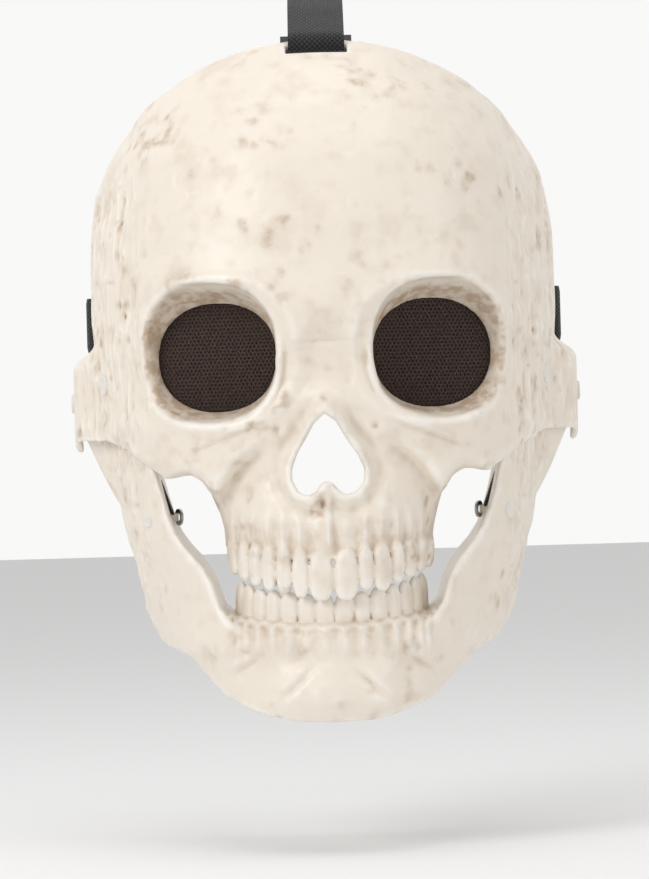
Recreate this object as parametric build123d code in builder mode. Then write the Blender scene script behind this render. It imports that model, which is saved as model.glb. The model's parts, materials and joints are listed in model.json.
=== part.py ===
"""Skull face mask with a hinged jaw, worn on the head with webbing straps.

Frame: millimetres, +Z up, origin in the middle of the jaw's hinge line, which runs along X.
The face looks along -Y. Left and right are the wearer's, so left is +X.
"""

import os
from math import atan, cos, degrees, radians, sin, sqrt

from build123d import *

os.makedirs("parts", exist_ok=True)

# ---------------------------------------------------------------- driving dimensions
FACE_WIDTH = 171.0          # across the temples
FACE_DEPTH = 104.0          # hinge line to the brow
CROWN_HEIGHT = 127.2        # hinge line up to the middle of the rim
CHIN_DROP = 113.7           # hinge line down to the underside of the chin

WALL = 2.2                  # both shells
SQUARENESS = 2.3            # exponent of the cross sections, 2 is an ellipse
REAR_EDGE = 9.0             # temple edge behind the hinge line
RIM_RISE = 1.18             # slope of the rim, rise over run

EYE_SPREAD = 37.2           # middle of the face to the middle of an eye
EYE_HEIGHT = 13.6
EYE_WIDTH = 45.5            # clear opening at the mesh
EYE_TALL = 37.9
EYE_FLARE = 7.0             # how much the socket widens towards its front
EYE_TURN = 20.0             # degrees that each socket looks outwards
EYE_BACK = 79.0             # mesh centre in front of the hinge line
EYE_LEDGE = 2.4             # glue ledge round the mesh
MESH_THICKNESS = 0.8

NOSE_TOP = -7.0
NOSE_BOTTOM = -35.0
NOSE_HALF_WIDTH = 12.8

TEETH_MEET = -70.0          # biting edge of the upper teeth
BITE_GAP = 1.0              # between the two rows when the jaw is shut
LOWER_GUM = -84.0           # shelf that the lower teeth stand on
ARCH_BACK = 58.0            # last molars in front of the hinge line

LOBE_RADIUS = 15.0          # round lobe of the upper shell over the hinge
LOBE_HEIGHT = 2.0           # lobe centre above the hinge line
TAB_RADIUS = 11.0           # round tab of the jaw inside the lobe
HINGE_OUTSET = 1.8          # jaw tab outside the temples
HINGE_GAP = 1.0             # between tab and lobe, filled by the washer
HINGE_PIN = 4.0
PIN_CLEARANCE = 0.1         # on the radius, in every drilled hole
RIVET_HEAD = 7.0
RIVET_HEAD_THICKNESS = 1.3
RIVET_SHANK = 3.0
WASHER_DIAMETER = 9.0
WASHER_THICKNESS = 0.8

WEBBING_WIDTH = 20.0
WEBBING_THICKNESS = 1.2
SLOT_CLEARANCE = 0.75       # webbing edge to slot end
SLOT_WIDTH = 5.0
SLOT_BAR = 3.6              # strip of shell between a slot and its edge
LOOP_RADIUS = 3.3           # middle of the webbing where it turns round a bar
SIDE_STRAP_HEIGHT = 29.0
STRAP_BACK = 99.5           # rear band behind the hinge line
HEAD_TOP = 146.5            # crown strap over the top of the head
CROWN_CENTRE = 43.5         # height of the centre of the crown strap's arc
REAR_LOOP_CLEARANCE = 1.0   # crown strap's rear loop round the rear band
SEWN_ANGLE = 11.0           # webbing turned back over the rim, degrees of the arc
HOOK_LOOP_THICKNESS = 1.0
HOOK_LOOP_LENGTH = 40.0
PATCH_GAP = 0.05            # thread under each sewn patch
CLOSURE_ANGLE = 34.0        # middle of the closure, degrees from straight back
CLOSURE_GAP = 0.5
SLIDER_LENGTH = 22.0
SLIDER_SKIN = 1.2           # plastic above and below the webbing
SLIDER_FRAME = 3.2
SLIDER_WINDOW = 5.0
SLIDER_ANGLE = 122.0        # place of the slider on the crown strap, degrees from level at the front
SLIDER_CLEARANCE = 0.35

PAD_THICKNESS = 6.0
PAD_GAP = 0.3               # glue line between a pad and its shell
FOREHEAD_PAD_WIDTH = 96.0
FOREHEAD_PAD_TALL = 24.0
FOREHEAD_PAD_HEIGHT = 70.0
CHEEK_PAD_DEPTH = 32.0
CHEEK_PAD_TALL = 34.0
CHEEK_PAD_HEIGHT = 34.0
CHEEK_PAD_AHEAD = 30.0      # its middle in front of the hinge line
CHIN_PAD_THICKNESS = 8.0
CHIN_PAD_WIDTH = 52.0
CHIN_PAD_TALL = 16.0
CHIN_PAD_DROP = 98.0

ELASTIC_WIDTH = 6.0
ELASTIC_THICKNESS = 1.2
UPPER_STAND = 4.4           # elastic clear of the inside of the cheek wall
JAW_STAND = 6.4             # elastic clear of the inside of the jaw wall
ANCHOR_GAP = 1.4            # elastic to washer
SPOT_DEPTH = 0.4            # flat seat under each anchor's head
UPPER_ANCHOR_Y = -36.0
UPPER_ANCHOR_Z = 6.0
JAW_ANCHOR_X = 64.4
JAW_ANCHOR_Z = -42.0

# ---------------------------------------------------------------- form of the two shells
# The forms are drawn at this size and stretched to the driving dimensions.
STRETCH_X = FACE_WIDTH / 171.0
STRETCH_Y = FACE_DEPTH / 104.0
STRETCH_UP = CROWN_HEIGHT / 127.2
STRETCH_DOWN = CHIN_DROP / 113.7


def at_x(x):
    return x * STRETCH_X


def at_y(y):
    return y * STRETCH_Y


def at_z(z):
    return z * (STRETCH_UP if z > 0 else STRETCH_DOWN)


# height, half width, depth in front of the arch's back
BOWL_FORM = (
    (-28, 82.5, 102.5),
    (0, 83.0, 102.5),
    (30, 85.5, 104.0),
    (60, 85.0, 102.5),
    (85, 81.2, 96.0),
    (105, 69.5, 86.0),
    (120, 55.5, 71.5),
    (131, 43.0, 56.5),
)
MUZZLE_FORM = (
    (0, 36.0, 42.0),
    (-28, 42.0, 45.0),
    (-45, 41.0, 45.0),
    (-57, 38.5, 46.0),
    (TEETH_MEET, 37.0, 47.5),
)
JAW_FORM = (
    (-12, 78.0, 97.0),
    (-30, 77.5, 98.0),
    (-45, 75.5, 99.0),
    (-62, 70.5, 100.0),
    (-80, 67.0, 101.0),
    (-92, 62.0, 103.5),
    (-104, 53.0, 105.0),
    (-114, 45.0, 102.5),
)
LOWER_ARCH_FORM = (
    (LOWER_GUM - WALL, 37.5, 43.0),
    (TEETH_MEET - BITE_GAP, 35.5, 44.0),
)


def form_at(form, z):
    """Half width and depth of a form at a height, in line between its sections."""
    rows = sorted((at_z(h), at_x(w), at_y(d)) for h, w, d in form)
    lower = max((row for row in rows[:-1] if row[0] <= z), default=rows[0])
    upper = rows[rows.index(lower) + 1]
    share = (z - lower[0]) / (upper[0] - lower[0])
    return tuple(low + (high - low) * share for low, high in zip(lower[1:], upper[1:]))


def wall_x(form, z, y):
    """Outer face of a form at a height and a place along Y."""
    half_width, depth = form_at(form, z)
    return half_width * (1 - abs(y / depth) ** SQUARENESS) ** (1 / SQUARENESS)


def wall_y(form, z, x):
    """Outer face of a form at a height and a place along X."""
    half_width, depth = form_at(form, z)
    return -depth * (1 - abs(x / half_width) ** SQUARENESS) ** (1 / SQUARENESS)


def arch_face(z, half_width, depth, back, rear):
    """Closed cross section: a superellipse in front of Y = back, straight behind it to rear."""
    power = 2 / SQUARENESS
    points = []
    for step in range(13):
        turn = radians(15 * step)
        reach = cos(turn)
        x = half_width * abs(reach) ** power * (1 if reach > 0 else -1)
        points.append((x, back - depth * sin(turn) ** power))
    points[0] = (half_width, back)
    points[6] = (0, back - depth)
    points[12] = (-half_width, back)
    with BuildSketch(Plane.XY.offset(z)) as face:
        with BuildLine():
            Spline(points, tangents=((0, -1), (0, 1)))
            Polyline((-half_width, back), (-half_width, rear), (half_width, rear), (half_width, back))
        make_face()
    return face.sketch


def form_faces(form, back, rear, inset=0.0, lower_by=0.0, raise_by=0.0):
    """Cross sections of a form, drawn in by inset, with its ends moved up or down."""
    faces = []
    heights = [row[0] for row in form]
    for z, half_width, depth in form:
        shift = 0.0
        if z == min(heights):
            shift = -lower_by
        if z == max(heights):
            shift = raise_by
        height = at_z(z) + shift
        faces.append(arch_face(height, at_x(half_width) - inset, at_y(depth) - inset, back, rear))
    return faces


def mirrored_outline(points):
    """Closed outline from its right half, listed from top to bottom."""
    right = [(at_x(x), at_z(z)) for x, z in points]
    return right + [(-x, z) for x, z in reversed(right)]


arch_back = -at_y(ARCH_BACK)
tab_inner = FACE_WIDTH / 2 + HINGE_OUTSET
tab_outer = tab_inner + WALL
lobe_inner = tab_outer + HINGE_GAP
lobe_outer = lobe_inner + WALL
rim_y = -at_y(62.0)
rim_normal = Vector(0, RIM_RISE, 1).normalized()
rim_plane = Plane(origin=(0, rim_y, CROWN_HEIGHT), x_dir=(1, 0, 0), z_dir=rim_normal)

# ---------------------------------------------------------------- places shared by several pieces
bar_x = FACE_WIDTH / 2 - WALL / 2
bar_y = REAR_EDGE - SLOT_BAR / 2
slot_tall = WEBBING_WIDTH + 2 * SLOT_CLEARANCE
crown_slope = degrees(atan(0.8))
crown_down = Vector(0, -cos(radians(crown_slope)), -sin(radians(crown_slope)))
crown_out = Vector(0, -sin(radians(crown_slope)), cos(radians(crown_slope)))
crown_edge = Vector(0, rim_y, CROWN_HEIGHT)
crown_bar = crown_edge + crown_down * (SLOT_BAR / 2) - crown_out * (WALL / 2)
crown_plane = Plane(origin=crown_bar, x_dir=(1, 0, 0), z_dir=crown_out)


def wall_normal(form, z, x, y):
    """Outward direction of a form's cross section at a point of it."""
    half_width, depth = form_at(form, z)
    power = SQUARENESS - 1
    across = abs(x / half_width) ** power / half_width
    along = abs(y / depth) ** power / depth
    return Vector(across, -along, 0).normalized()


upper_anchor_z = at_z(UPPER_ANCHOR_Z)
upper_anchor_y = at_y(UPPER_ANCHOR_Y)
upper_anchor_x = wall_x(BOWL_FORM, upper_anchor_z, upper_anchor_y)
upper_anchor_normal = wall_normal(BOWL_FORM, upper_anchor_z, upper_anchor_x, upper_anchor_y)
jaw_anchor_z = at_z(JAW_ANCHOR_Z)
jaw_anchor_x = at_x(JAW_ANCHOR_X)
jaw_anchor_y = wall_y(JAW_FORM, jaw_anchor_z, jaw_anchor_x)
jaw_anchor_normal = wall_normal(JAW_FORM, jaw_anchor_z, jaw_anchor_x, jaw_anchor_y)


def anchor_plane(side, x, y, z, normal):
    """Flat seat sunk a little into a wall, looking outwards, on one side of the face."""
    wall = Plane(origin=(side * x, y, z), x_dir=(0, 0, 1), z_dir=(side * normal.X, normal.Y, 0))
    return wall.offset(-SPOT_DEPTH)


def upper_anchor(side):
    """Seat of the upper anchor's head."""
    return anchor_plane(side, upper_anchor_x, upper_anchor_y, upper_anchor_z, upper_anchor_normal)


def jaw_anchor(side):
    """Seat of the jaw anchor's head."""
    return anchor_plane(side, jaw_anchor_x, jaw_anchor_y, jaw_anchor_z, jaw_anchor_normal)


def eye_plane(side):
    """Plane of a mesh, looking forwards and outwards."""
    turn = radians(EYE_TURN)
    return Plane(
        origin=(side * at_x(EYE_SPREAD), -at_y(EYE_BACK), EYE_HEIGHT),
        x_dir=(cos(turn), side * sin(turn), 0),
        z_dir=(side * sin(turn), -cos(turn), 0),
    )


def socket_faces(side, grow, back=0.0):
    """Two ellipses of an eye socket, at the mesh and well in front of the face."""
    faces = []
    for ahead, flare in ((-back, 0.0), (36.0, EYE_FLARE * 2)):
        with BuildSketch(eye_plane(side).offset(ahead)) as face:
            Ellipse(EYE_WIDTH / 2 + grow + flare, EYE_TALL / 2 + grow + flare)
        faces.append(face.sketch)
    return faces


SIDES = (("left", 1), ("right", -1))

# ---------------------------------------------------------------- upper shell
CHEEK_OUTLINE = (
    (120, 140), (120, -14), (78, -13), (73, -16), (66, -23), (57, -28.5),
    (46, -29), (43, -40), (39.5, -56), (37.5, TEETH_MEET - 1),
)
floor_back = -at_y(72.0)
flare_front = -at_y(30.0)

with BuildPart() as eye_sockets:
    for label, side in SIDES:
        loft(socket_faces(side, WALL))
    loft(form_faces(BOWL_FORM, 0, REAR_EDGE, inset=0.2), mode=Mode.INTERSECT)

with BuildPart() as upper_skull:
    loft(form_faces(BOWL_FORM, 0, REAR_EDGE))
    loft(form_faces(MUZZLE_FORM, arch_back, arch_back + 6))
    loft(form_faces(BOWL_FORM, 0, REAR_EDGE + 10, WALL, lower_by=-WALL, raise_by=5), mode=Mode.SUBTRACT)
    loft(form_faces(MUZZLE_FORM, arch_back, arch_back + 20, WALL, 1, 1), mode=Mode.SUBTRACT)
    with BuildSketch(Plane.XZ) as cheek_outline:
        with BuildLine():
            Polyline(mirrored_outline(CHEEK_OUTLINE), close=True)
        make_face()
    extrude(amount=200, both=True, mode=Mode.INTERSECT)
    with Locations((0, floor_back + 60, at_z(-28))):
        Box(FACE_WIDTH * 2, 120, 8, align=(Align.CENTER, Align.CENTER, Align.CENTER), mode=Mode.SUBTRACT)
    with Locations((0, flare_front + 30, at_z(17) - 30)):
        Box(FACE_WIDTH * 2, 60, 60, mode=Mode.SUBTRACT)
    split(bisect_by=rim_plane, keep=Keep.BOTTOM)
    # eye sockets, open at the mesh
    add(eye_sockets.part)
    for label, side in SIDES:
        loft(socket_faces(side, 0), mode=Mode.SUBTRACT)
        with BuildSketch(eye_plane(side).offset(-10)):
            Ellipse(EYE_WIDTH / 2, EYE_TALL / 2)
        extrude(amount=12, mode=Mode.SUBTRACT)
    # nose opening
    with BuildSketch(Plane.XZ.offset(at_y(72))):
        with BuildLine():
            notch = (0, at_z(-30.5))
            right_lobe = (NOSE_HALF_WIDTH * 0.55, at_z(NOSE_BOTTOM))
            right_side = (NOSE_HALF_WIDTH, at_z(-27.0))
            top = (0, at_z(NOSE_TOP))
            ThreePointArc(notch, (right_lobe[0] * 0.5, at_z(-33.5)), right_lobe)
            ThreePointArc(right_lobe, (NOSE_HALF_WIDTH * 0.93, at_z(-32.5)), right_side)
            ThreePointArc(right_side, (NOSE_HALF_WIDTH * 0.62, at_z(-13.5)), top)
            mirror(about=Plane.YZ)
        make_face()
    extrude(amount=60, mode=Mode.SUBTRACT)
    # hinge lobes, each carried by a strip that flares out from the cheek wall
    for label, side in SIDES:
        with BuildSketch(Plane.YZ.offset(side * (lobe_inner + WALL / 2))):
            with Locations((0, LOBE_HEIGHT)):
                Circle(LOBE_RADIUS)
        extrude(amount=WALL / 2, both=True)
        strip_x = wall_x(BOWL_FORM, 1.0, flare_front)
        with BuildSketch(Plane.XY.offset(at_z(-11))):
            with BuildLine():
                Polyline(
                    (side * (strip_x - WALL), flare_front - 3),
                    (side * strip_x, flare_front - 3),
                    (side * lobe_outer, -LOBE_RADIUS + 3),
                    (side * lobe_outer, 0),
                    (side * lobe_inner, 0),
                    (side * lobe_inner, -LOBE_RADIUS + 3),
                    close=True,
                )
            make_face()
        extrude(amount=at_z(15) - at_z(-11))
        with BuildSketch(Plane.YZ.offset(side * (lobe_inner - 6))):
            Circle(HINGE_PIN / 2 + PIN_CLEARANCE)
        extrude(amount=side * 14, mode=Mode.SUBTRACT)
        # strap slot in the temple
        with Locations((side * bar_x, REAR_EDGE - SLOT_BAR - SLOT_WIDTH / 2, SIDE_STRAP_HEIGHT)):
            Box(WALL * 6, SLOT_WIDTH, slot_tall, mode=Mode.SUBTRACT)
        # elastic anchor hole and its flat seat
        with BuildSketch(upper_anchor(side).offset(-8)):
            Circle(RIVET_SHANK / 2 + PIN_CLEARANCE)
        extrude(amount=16, mode=Mode.SUBTRACT)
        with BuildSketch(upper_anchor(side)):
            Circle(RIVET_HEAD / 2 + PIN_CLEARANCE)
        extrude(amount=8, mode=Mode.SUBTRACT)
    # strap slot under the rim
    with BuildSketch(crown_plane):
        with Locations((0, -SLOT_BAR / 2 - SLOT_WIDTH / 2)):
            Rectangle(slot_tall, SLOT_WIDTH)
    extrude(amount=8, both=True, mode=Mode.SUBTRACT)
upper_skull.part.label = "upper_skull"
export_step(upper_skull.part, "parts/upper_skull.step")

# ---------------------------------------------------------------- lower jaw
MOUTH_WINDOW = (
    (62.5, -8), (62, -20), (58.5, -34), (54, -47.5), (47.5, -56), (42, -66), (40, LOWER_GUM),
)
JAW_BORDER = (
    (120, 20), (120, -80), (66, -82), (62, -87), (51, -91), (41, -102), (29, -110), (13, -113.5),
)
JAW_SIDE_CUT = ((9, -8), (4, -20), (-6, -45), (-16, -70), (-22, -90), (-30, -130), (60, -130), (60, -8))
ramus_low = at_z(-38)
ramus_x = wall_x(JAW_FORM, ramus_low, 0)

with BuildPart() as lower_jaw:
    loft(form_faces(JAW_FORM, 0, REAR_EDGE))
    loft(form_faces(JAW_FORM, 0, REAR_EDGE + 10, WALL, 5, 5), mode=Mode.SUBTRACT)
    with BuildSketch(Plane.XZ):
        with BuildLine():
            Polyline(mirrored_outline(JAW_BORDER), close=True)
        make_face()
    extrude(amount=200, both=True, mode=Mode.INTERSECT)
    with BuildSketch(Plane.XZ.offset(at_y(20))):
        with BuildLine():
            Polyline(mirrored_outline(MOUTH_WINDOW), close=True)
        make_face()
    extrude(amount=100, mode=Mode.SUBTRACT)
    # notch between the front horn and the hinge neck
    with BuildSketch(Plane.YZ):
        with Locations((-at_y(33), at_z(-8))):
            Ellipse(at_y(19), 17)
    extrude(amount=120, both=True, mode=Mode.SUBTRACT)
    with BuildSketch(Plane.YZ):
        with Locations((0, 0)):
            Rectangle(at_y(30), -2 * at_z(-20))
    extrude(amount=120, both=True, mode=Mode.SUBTRACT)
    # hinge tabs and the necks that carry them
    for label, side in SIDES:
        with BuildSketch(Plane.YZ.offset(side * (tab_inner + WALL / 2))):
            Circle(TAB_RADIUS)
        extrude(amount=WALL / 2, both=True)
        with BuildSketch(Plane.XZ.offset(-9)):
            with BuildLine():
                Polyline(
                    (side * tab_inner, at_z(-4)),
                    (side * tab_outer, at_z(-4)),
                    (side * tab_outer, at_z(-11)),
                    (side * ramus_x, ramus_low),
                    (side * (ramus_x - WALL), ramus_low),
                    (side * tab_inner, at_z(-12)),
                    close=True,
                )
            make_face()
        extrude(amount=21)
        with BuildSketch(Plane.YZ.offset(side * (tab_inner - 6))):
            Circle(HINGE_PIN / 2 + PIN_CLEARANCE)
        extrude(amount=side * 14, mode=Mode.SUBTRACT)
        with BuildSketch(jaw_anchor(side).offset(-8)):
            Circle(RIVET_SHANK / 2 + PIN_CLEARANCE)
        extrude(amount=16, mode=Mode.SUBTRACT)
        with BuildSketch(jaw_anchor(side)):
            Circle(RIVET_HEAD / 2 + PIN_CLEARANCE)
        extrude(amount=8, mode=Mode.SUBTRACT)
    with BuildSketch(Plane.YZ):
        with BuildLine():
            Polyline([(at_y(y), at_z(z)) for y, z in JAW_SIDE_CUT], close=True)
        make_face()
    extrude(amount=120, both=True, mode=Mode.SUBTRACT)
    # shelf and row of lower teeth, moulded in
    with BuildSketch(Plane.XY.offset(at_z(LOWER_GUM) - WALL)):
        add(arch_face(at_z(LOWER_GUM) - WALL, *form_at(JAW_FORM, at_z(LOWER_GUM)), 0, WALL))
        with Locations((0, 60 + arch_back)):
            Rectangle(400, 120, mode=Mode.SUBTRACT)
    extrude(amount=WALL)
    loft(form_faces(LOWER_ARCH_FORM, arch_back, arch_back + 6))
    loft(form_faces(LOWER_ARCH_FORM, arch_back, arch_back + 20, WALL, 1, 1), mode=Mode.SUBTRACT)
lower_jaw.part.label = "lower_jaw"
export_step(lower_jaw.part, "parts/lower_jaw.step")

# ---------------------------------------------------------------- eye meshes
for label, side in SIDES:
    with BuildPart() as eye_mesh:
        with BuildSketch(eye_plane(side)):
            Ellipse(EYE_WIDTH / 2 + EYE_LEDGE, EYE_TALL / 2 + EYE_LEDGE)
        extrude(amount=-MESH_THICKNESS)
    eye_mesh.part.label = f"eye_mesh_{label}"
    export_step(eye_mesh.part, f"parts/eye_mesh_{label}.step")


# ---------------------------------------------------------------- foam pads
def pad_faces(form, inset):
    return form_faces(form, 0, 0.5, inset, 0, 0)


with BuildPart() as forehead_pad:
    loft(pad_faces(BOWL_FORM, WALL + PAD_GAP))
    loft(pad_faces(BOWL_FORM, WALL + PAD_GAP + PAD_THICKNESS), mode=Mode.SUBTRACT)
    with Locations((0, -FACE_DEPTH, at_z(FOREHEAD_PAD_HEIGHT))):
        Box(at_x(FOREHEAD_PAD_WIDTH), FACE_DEPTH, at_z(FOREHEAD_PAD_TALL), mode=Mode.INTERSECT)
forehead_pad.part.label = "forehead_pad"
export_step(forehead_pad.part, "parts/forehead_pad.step")

for label, side in SIDES:
    with BuildPart() as cheek_pad:
        loft(pad_faces(BOWL_FORM, WALL + PAD_GAP))
        loft(pad_faces(BOWL_FORM, WALL + PAD_GAP + PAD_THICKNESS), mode=Mode.SUBTRACT)
        with Locations((side * FACE_WIDTH / 2, -at_y(CHEEK_PAD_AHEAD), at_z(CHEEK_PAD_HEIGHT))):
            Box(at_x(50), at_y(CHEEK_PAD_DEPTH), at_z(CHEEK_PAD_TALL), mode=Mode.INTERSECT)
    cheek_pad.part.label = f"cheek_pad_{label}"
    export_step(cheek_pad.part, f"parts/cheek_pad_{label}.step")

with BuildPart() as chin_pad:
    loft(pad_faces(JAW_FORM, WALL + PAD_GAP))
    loft(pad_faces(JAW_FORM, WALL + PAD_GAP + CHIN_PAD_THICKNESS), mode=Mode.SUBTRACT)
    with Locations((0, -FACE_DEPTH, at_z(-CHIN_PAD_DROP))):
        Box(at_x(CHIN_PAD_WIDTH), at_y(60), -at_z(-CHIN_PAD_TALL), mode=Mode.INTERSECT)
chin_pad.part.label = "chin_pad"
export_step(chin_pad.part, "parts/chin_pad.step")

# ---------------------------------------------------------------- hinge pins, washers and caps
for label, side in SIDES:
    pin_end = tab_inner - WASHER_THICKNESS * 2
    with BuildPart() as pivot_rivet:
        with BuildSketch(Plane.YZ.offset(side * lobe_outer)):
            Circle(RIVET_HEAD / 2)
        extrude(amount=side * RIVET_HEAD_THICKNESS)
        fillet(pivot_rivet.faces().sort_by(Axis.X)[-1 if side > 0 else 0].edges(), 0.6)
        with BuildSketch(Plane.YZ.offset(side * pin_end)):
            Circle(HINGE_PIN / 2)
        extrude(amount=side * (lobe_outer - pin_end))
    pivot_rivet.part.label = f"pivot_rivet_{label}"
    export_step(pivot_rivet.part, f"parts/pivot_rivet_{label}.step")

    with BuildPart() as pivot_washer:
        with BuildSketch(Plane.YZ.offset(side * (tab_outer + HINGE_GAP / 2))):
            Circle(WASHER_DIAMETER / 2)
            Circle(HINGE_PIN / 2 + PIN_CLEARANCE, mode=Mode.SUBTRACT)
        extrude(amount=HINGE_GAP / 2 - 0.05, both=True)
    pivot_washer.part.label = f"pivot_washer_{label}"
    export_step(pivot_washer.part, f"parts/pivot_washer_{label}.step")

    with BuildPart() as pivot_cap:
        with BuildSketch(Plane.YZ.offset(side * (tab_inner - 0.1))):
            Circle(WASHER_DIAMETER / 2)
            Circle(HINGE_PIN / 2, mode=Mode.SUBTRACT)
        extrude(amount=-side * (WASHER_THICKNESS * 2 - 0.1))
    pivot_cap.part.label = f"pivot_cap_{label}"
    export_step(pivot_cap.part, f"parts/pivot_cap_{label}.step")


# ---------------------------------------------------------------- elastic anchors and elastics
for label, side in SIDES:
    anchors = (("upper_anchor", upper_anchor(side), UPPER_STAND), ("jaw_anchor", jaw_anchor(side), JAW_STAND))
    ends = []
    for name, seat, stand in anchors:
        elastic_depth = WALL + stand
        washer_depth = elastic_depth + ELASTIC_THICKNESS + ANCHOR_GAP
        shank_length = washer_depth + WASHER_THICKNESS
        ends.append(seat.offset(-elastic_depth - ELASTIC_THICKNESS / 2).origin)

        with BuildPart() as anchor_rivet:
            with BuildSketch(seat):
                Circle(RIVET_HEAD / 2)
            extrude(amount=RIVET_HEAD_THICKNESS)
            with BuildSketch(seat.offset(-shank_length)):
                Circle(RIVET_SHANK / 2)
            extrude(amount=shank_length)
        anchor_rivet.part.label = f"{name}_rivet_{label}"
        export_step(anchor_rivet.part, f"parts/{name}_rivet_{label}.step")

        with BuildPart() as anchor_washer:
            with BuildSketch(seat.offset(-shank_length)):
                Circle(ELASTIC_WIDTH / 2)
                Circle(RIVET_SHANK / 2, mode=Mode.SUBTRACT)
            extrude(amount=WASHER_THICKNESS)
        anchor_washer.part.label = f"{name}_washer_{label}"
        export_step(anchor_washer.part, f"parts/{name}_washer_{label}.step")

    # the elastic hangs between the two shanks, just inside both walls
    top_end = ends[0] - Vector(0, 0, RIVET_SHANK)
    run = ends[1] + Vector(0, 0, RIVET_SHANK) - top_end
    with BuildPart() as return_elastic:
        with BuildSketch(Plane(origin=top_end, x_dir=(0, 1, 0), z_dir=run)):
            Rectangle(ELASTIC_WIDTH, ELASTIC_THICKNESS)
        extrude(amount=run.length)
    return_elastic.part.label = f"return_elastic_{label}"
    export_step(return_elastic.part, f"parts/return_elastic_{label}.step")

# ---------------------------------------------------------------- webbing straps
half_webbing = WEBBING_THICKNESS / 2
band_half = bar_x + LOOP_RADIUS
band_depth = STRAP_BACK - bar_y
closure_step = WEBBING_THICKNESS + 2 * HOOK_LOOP_THICKNESS + CLOSURE_GAP
half_closure = degrees(HOOK_LOOP_LENGTH / 2 / STRAP_BACK)
closure_start = CLOSURE_ANGLE - half_closure
closure_end = CLOSURE_ANGLE + half_closure
strap_low = SIDE_STRAP_HEIGHT - WEBBING_WIDTH / 2


def band_radius(angle):
    """Middle of the rear band from the bars' line, at an angle from straight back."""
    turn = radians(angle)
    return 1 / sqrt((sin(turn) / band_half) ** 2 + (cos(turn) / band_depth) ** 2)


def outer_radius(angle):
    """The same for the strap that runs outside the closure and comes in to its own bar."""
    share = min(1.0, max(0.0, (90 - angle) / (90 - closure_end - 4)))
    return band_radius(angle) + closure_step * share * share * (3 - 2 * share)


def strip_face(radius, offset, thickness, start, end):
    """Curved strip seen from above, between two angles from straight back."""
    rows = {-1: [], 1: []}
    for step in range(15):
        angle = start + (end - start) * step / 14
        turn = radians(angle)
        for edge in rows:
            reach = radius(angle) + offset + edge * thickness / 2
            rows[edge].append((reach * sin(turn), bar_y + reach * cos(turn)))
    with BuildSketch(Plane.XY.offset(strap_low)) as strip:
        with BuildLine():
            Spline(rows[1])
            Spline(rows[-1])
            Line(rows[1][0], rows[-1][0])
            Line(rows[1][-1], rows[-1][-1])
        make_face()
    return strip.sketch


def bar_loop(side):
    """Turn of webbing round the bar behind a temple slot."""
    with BuildSketch(Plane.XY.offset(strap_low)) as ring:
        with Locations((side * bar_x, bar_y)):
            Circle(LOOP_RADIUS + half_webbing)
            Circle(LOOP_RADIUS - half_webbing, mode=Mode.SUBTRACT)
    return ring.sketch


patch_offset = (WEBBING_THICKNESS + HOOK_LOOP_THICKNESS) / 2 + PATCH_GAP

with BuildPart() as side_strap_right:
    extrude(bar_loop(-1), amount=WEBBING_WIDTH)
    extrude(strip_face(band_radius, 0, WEBBING_THICKNESS, -90, closure_end), amount=WEBBING_WIDTH)
side_strap_right.part.label = "side_strap_right"
export_step(side_strap_right.part, "parts/side_strap_right.step")

with BuildPart() as side_strap_left:
    extrude(bar_loop(1), amount=WEBBING_WIDTH)
    extrude(strip_face(outer_radius, 0, WEBBING_THICKNESS, closure_start - 4, 90), amount=WEBBING_WIDTH)
side_strap_left.part.label = "side_strap_left"
export_step(side_strap_left.part, "parts/side_strap_left.step")

with BuildPart() as loop_patch:
    extrude(
        strip_face(band_radius, patch_offset, HOOK_LOOP_THICKNESS, closure_start, closure_end),
        amount=WEBBING_WIDTH,
    )
loop_patch.part.label = "loop_patch"
export_step(loop_patch.part, "parts/loop_patch.step")

with BuildPart() as hook_patch:
    extrude(
        strip_face(outer_radius, -patch_offset, HOOK_LOOP_THICKNESS, closure_start, closure_end),
        amount=WEBBING_WIDTH,
    )
hook_patch.part.label = "hook_patch"
export_step(hook_patch.part, "parts/hook_patch.step")

# ---------------------------------------------------------------- crown strap and its slider
crown_radius = HEAD_TOP - CROWN_CENTRE
crown_start = degrees(atan((crown_bar.Z - CROWN_CENTRE) / -crown_bar.Y))
crown_reach = sqrt(crown_bar.Y**2 + (crown_bar.Z - CROWN_CENTRE) ** 2)
ring_top = SIDE_STRAP_HEIGHT + WEBBING_WIDTH / 2 + REAR_LOOP_CLEARANCE + WEBBING_THICKNESS
ring_bottom = SIDE_STRAP_HEIGHT - WEBBING_WIDTH / 2 - REAR_LOOP_CLEARANCE - WEBBING_THICKNESS
ring_outside = sqrt(crown_radius**2 - (ring_top - CROWN_CENTRE) ** 2) + half_webbing
ring_inside = STRAP_BACK - half_webbing - REAR_LOOP_CLEARANCE - WEBBING_THICKNESS


def crown_point(radius, angle):
    """Y and Z of a point about the crown strap's centre, its angle from level at the front."""
    turn = radians(angle)
    return (-radius * cos(turn), CROWN_CENTRE + radius * sin(turn))


def crown_sector(inner, outer, start, end):
    """Part of a ring about the crown strap's centre, between two angles above level at the front."""
    with BuildSketch(Plane.YZ) as sector:
        with BuildLine():
            arcs = []
            for radius in (inner, outer):
                ends = [crown_point(radius, angle) for angle in (start, (start + end) / 2, end)]
                arcs.append(ThreePointArc(*ends))
            Line(arcs[0] @ 0, arcs[1] @ 0)
            Line(arcs[0] @ 1, arcs[1] @ 1)
        make_face()
    return sector.sketch


rear_end = 180 + degrees(atan((CROWN_CENTRE - ring_top + half_webbing) / crown_radius))
crown_inner = crown_radius - half_webbing
crown_outer = crown_radius + half_webbing

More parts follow.
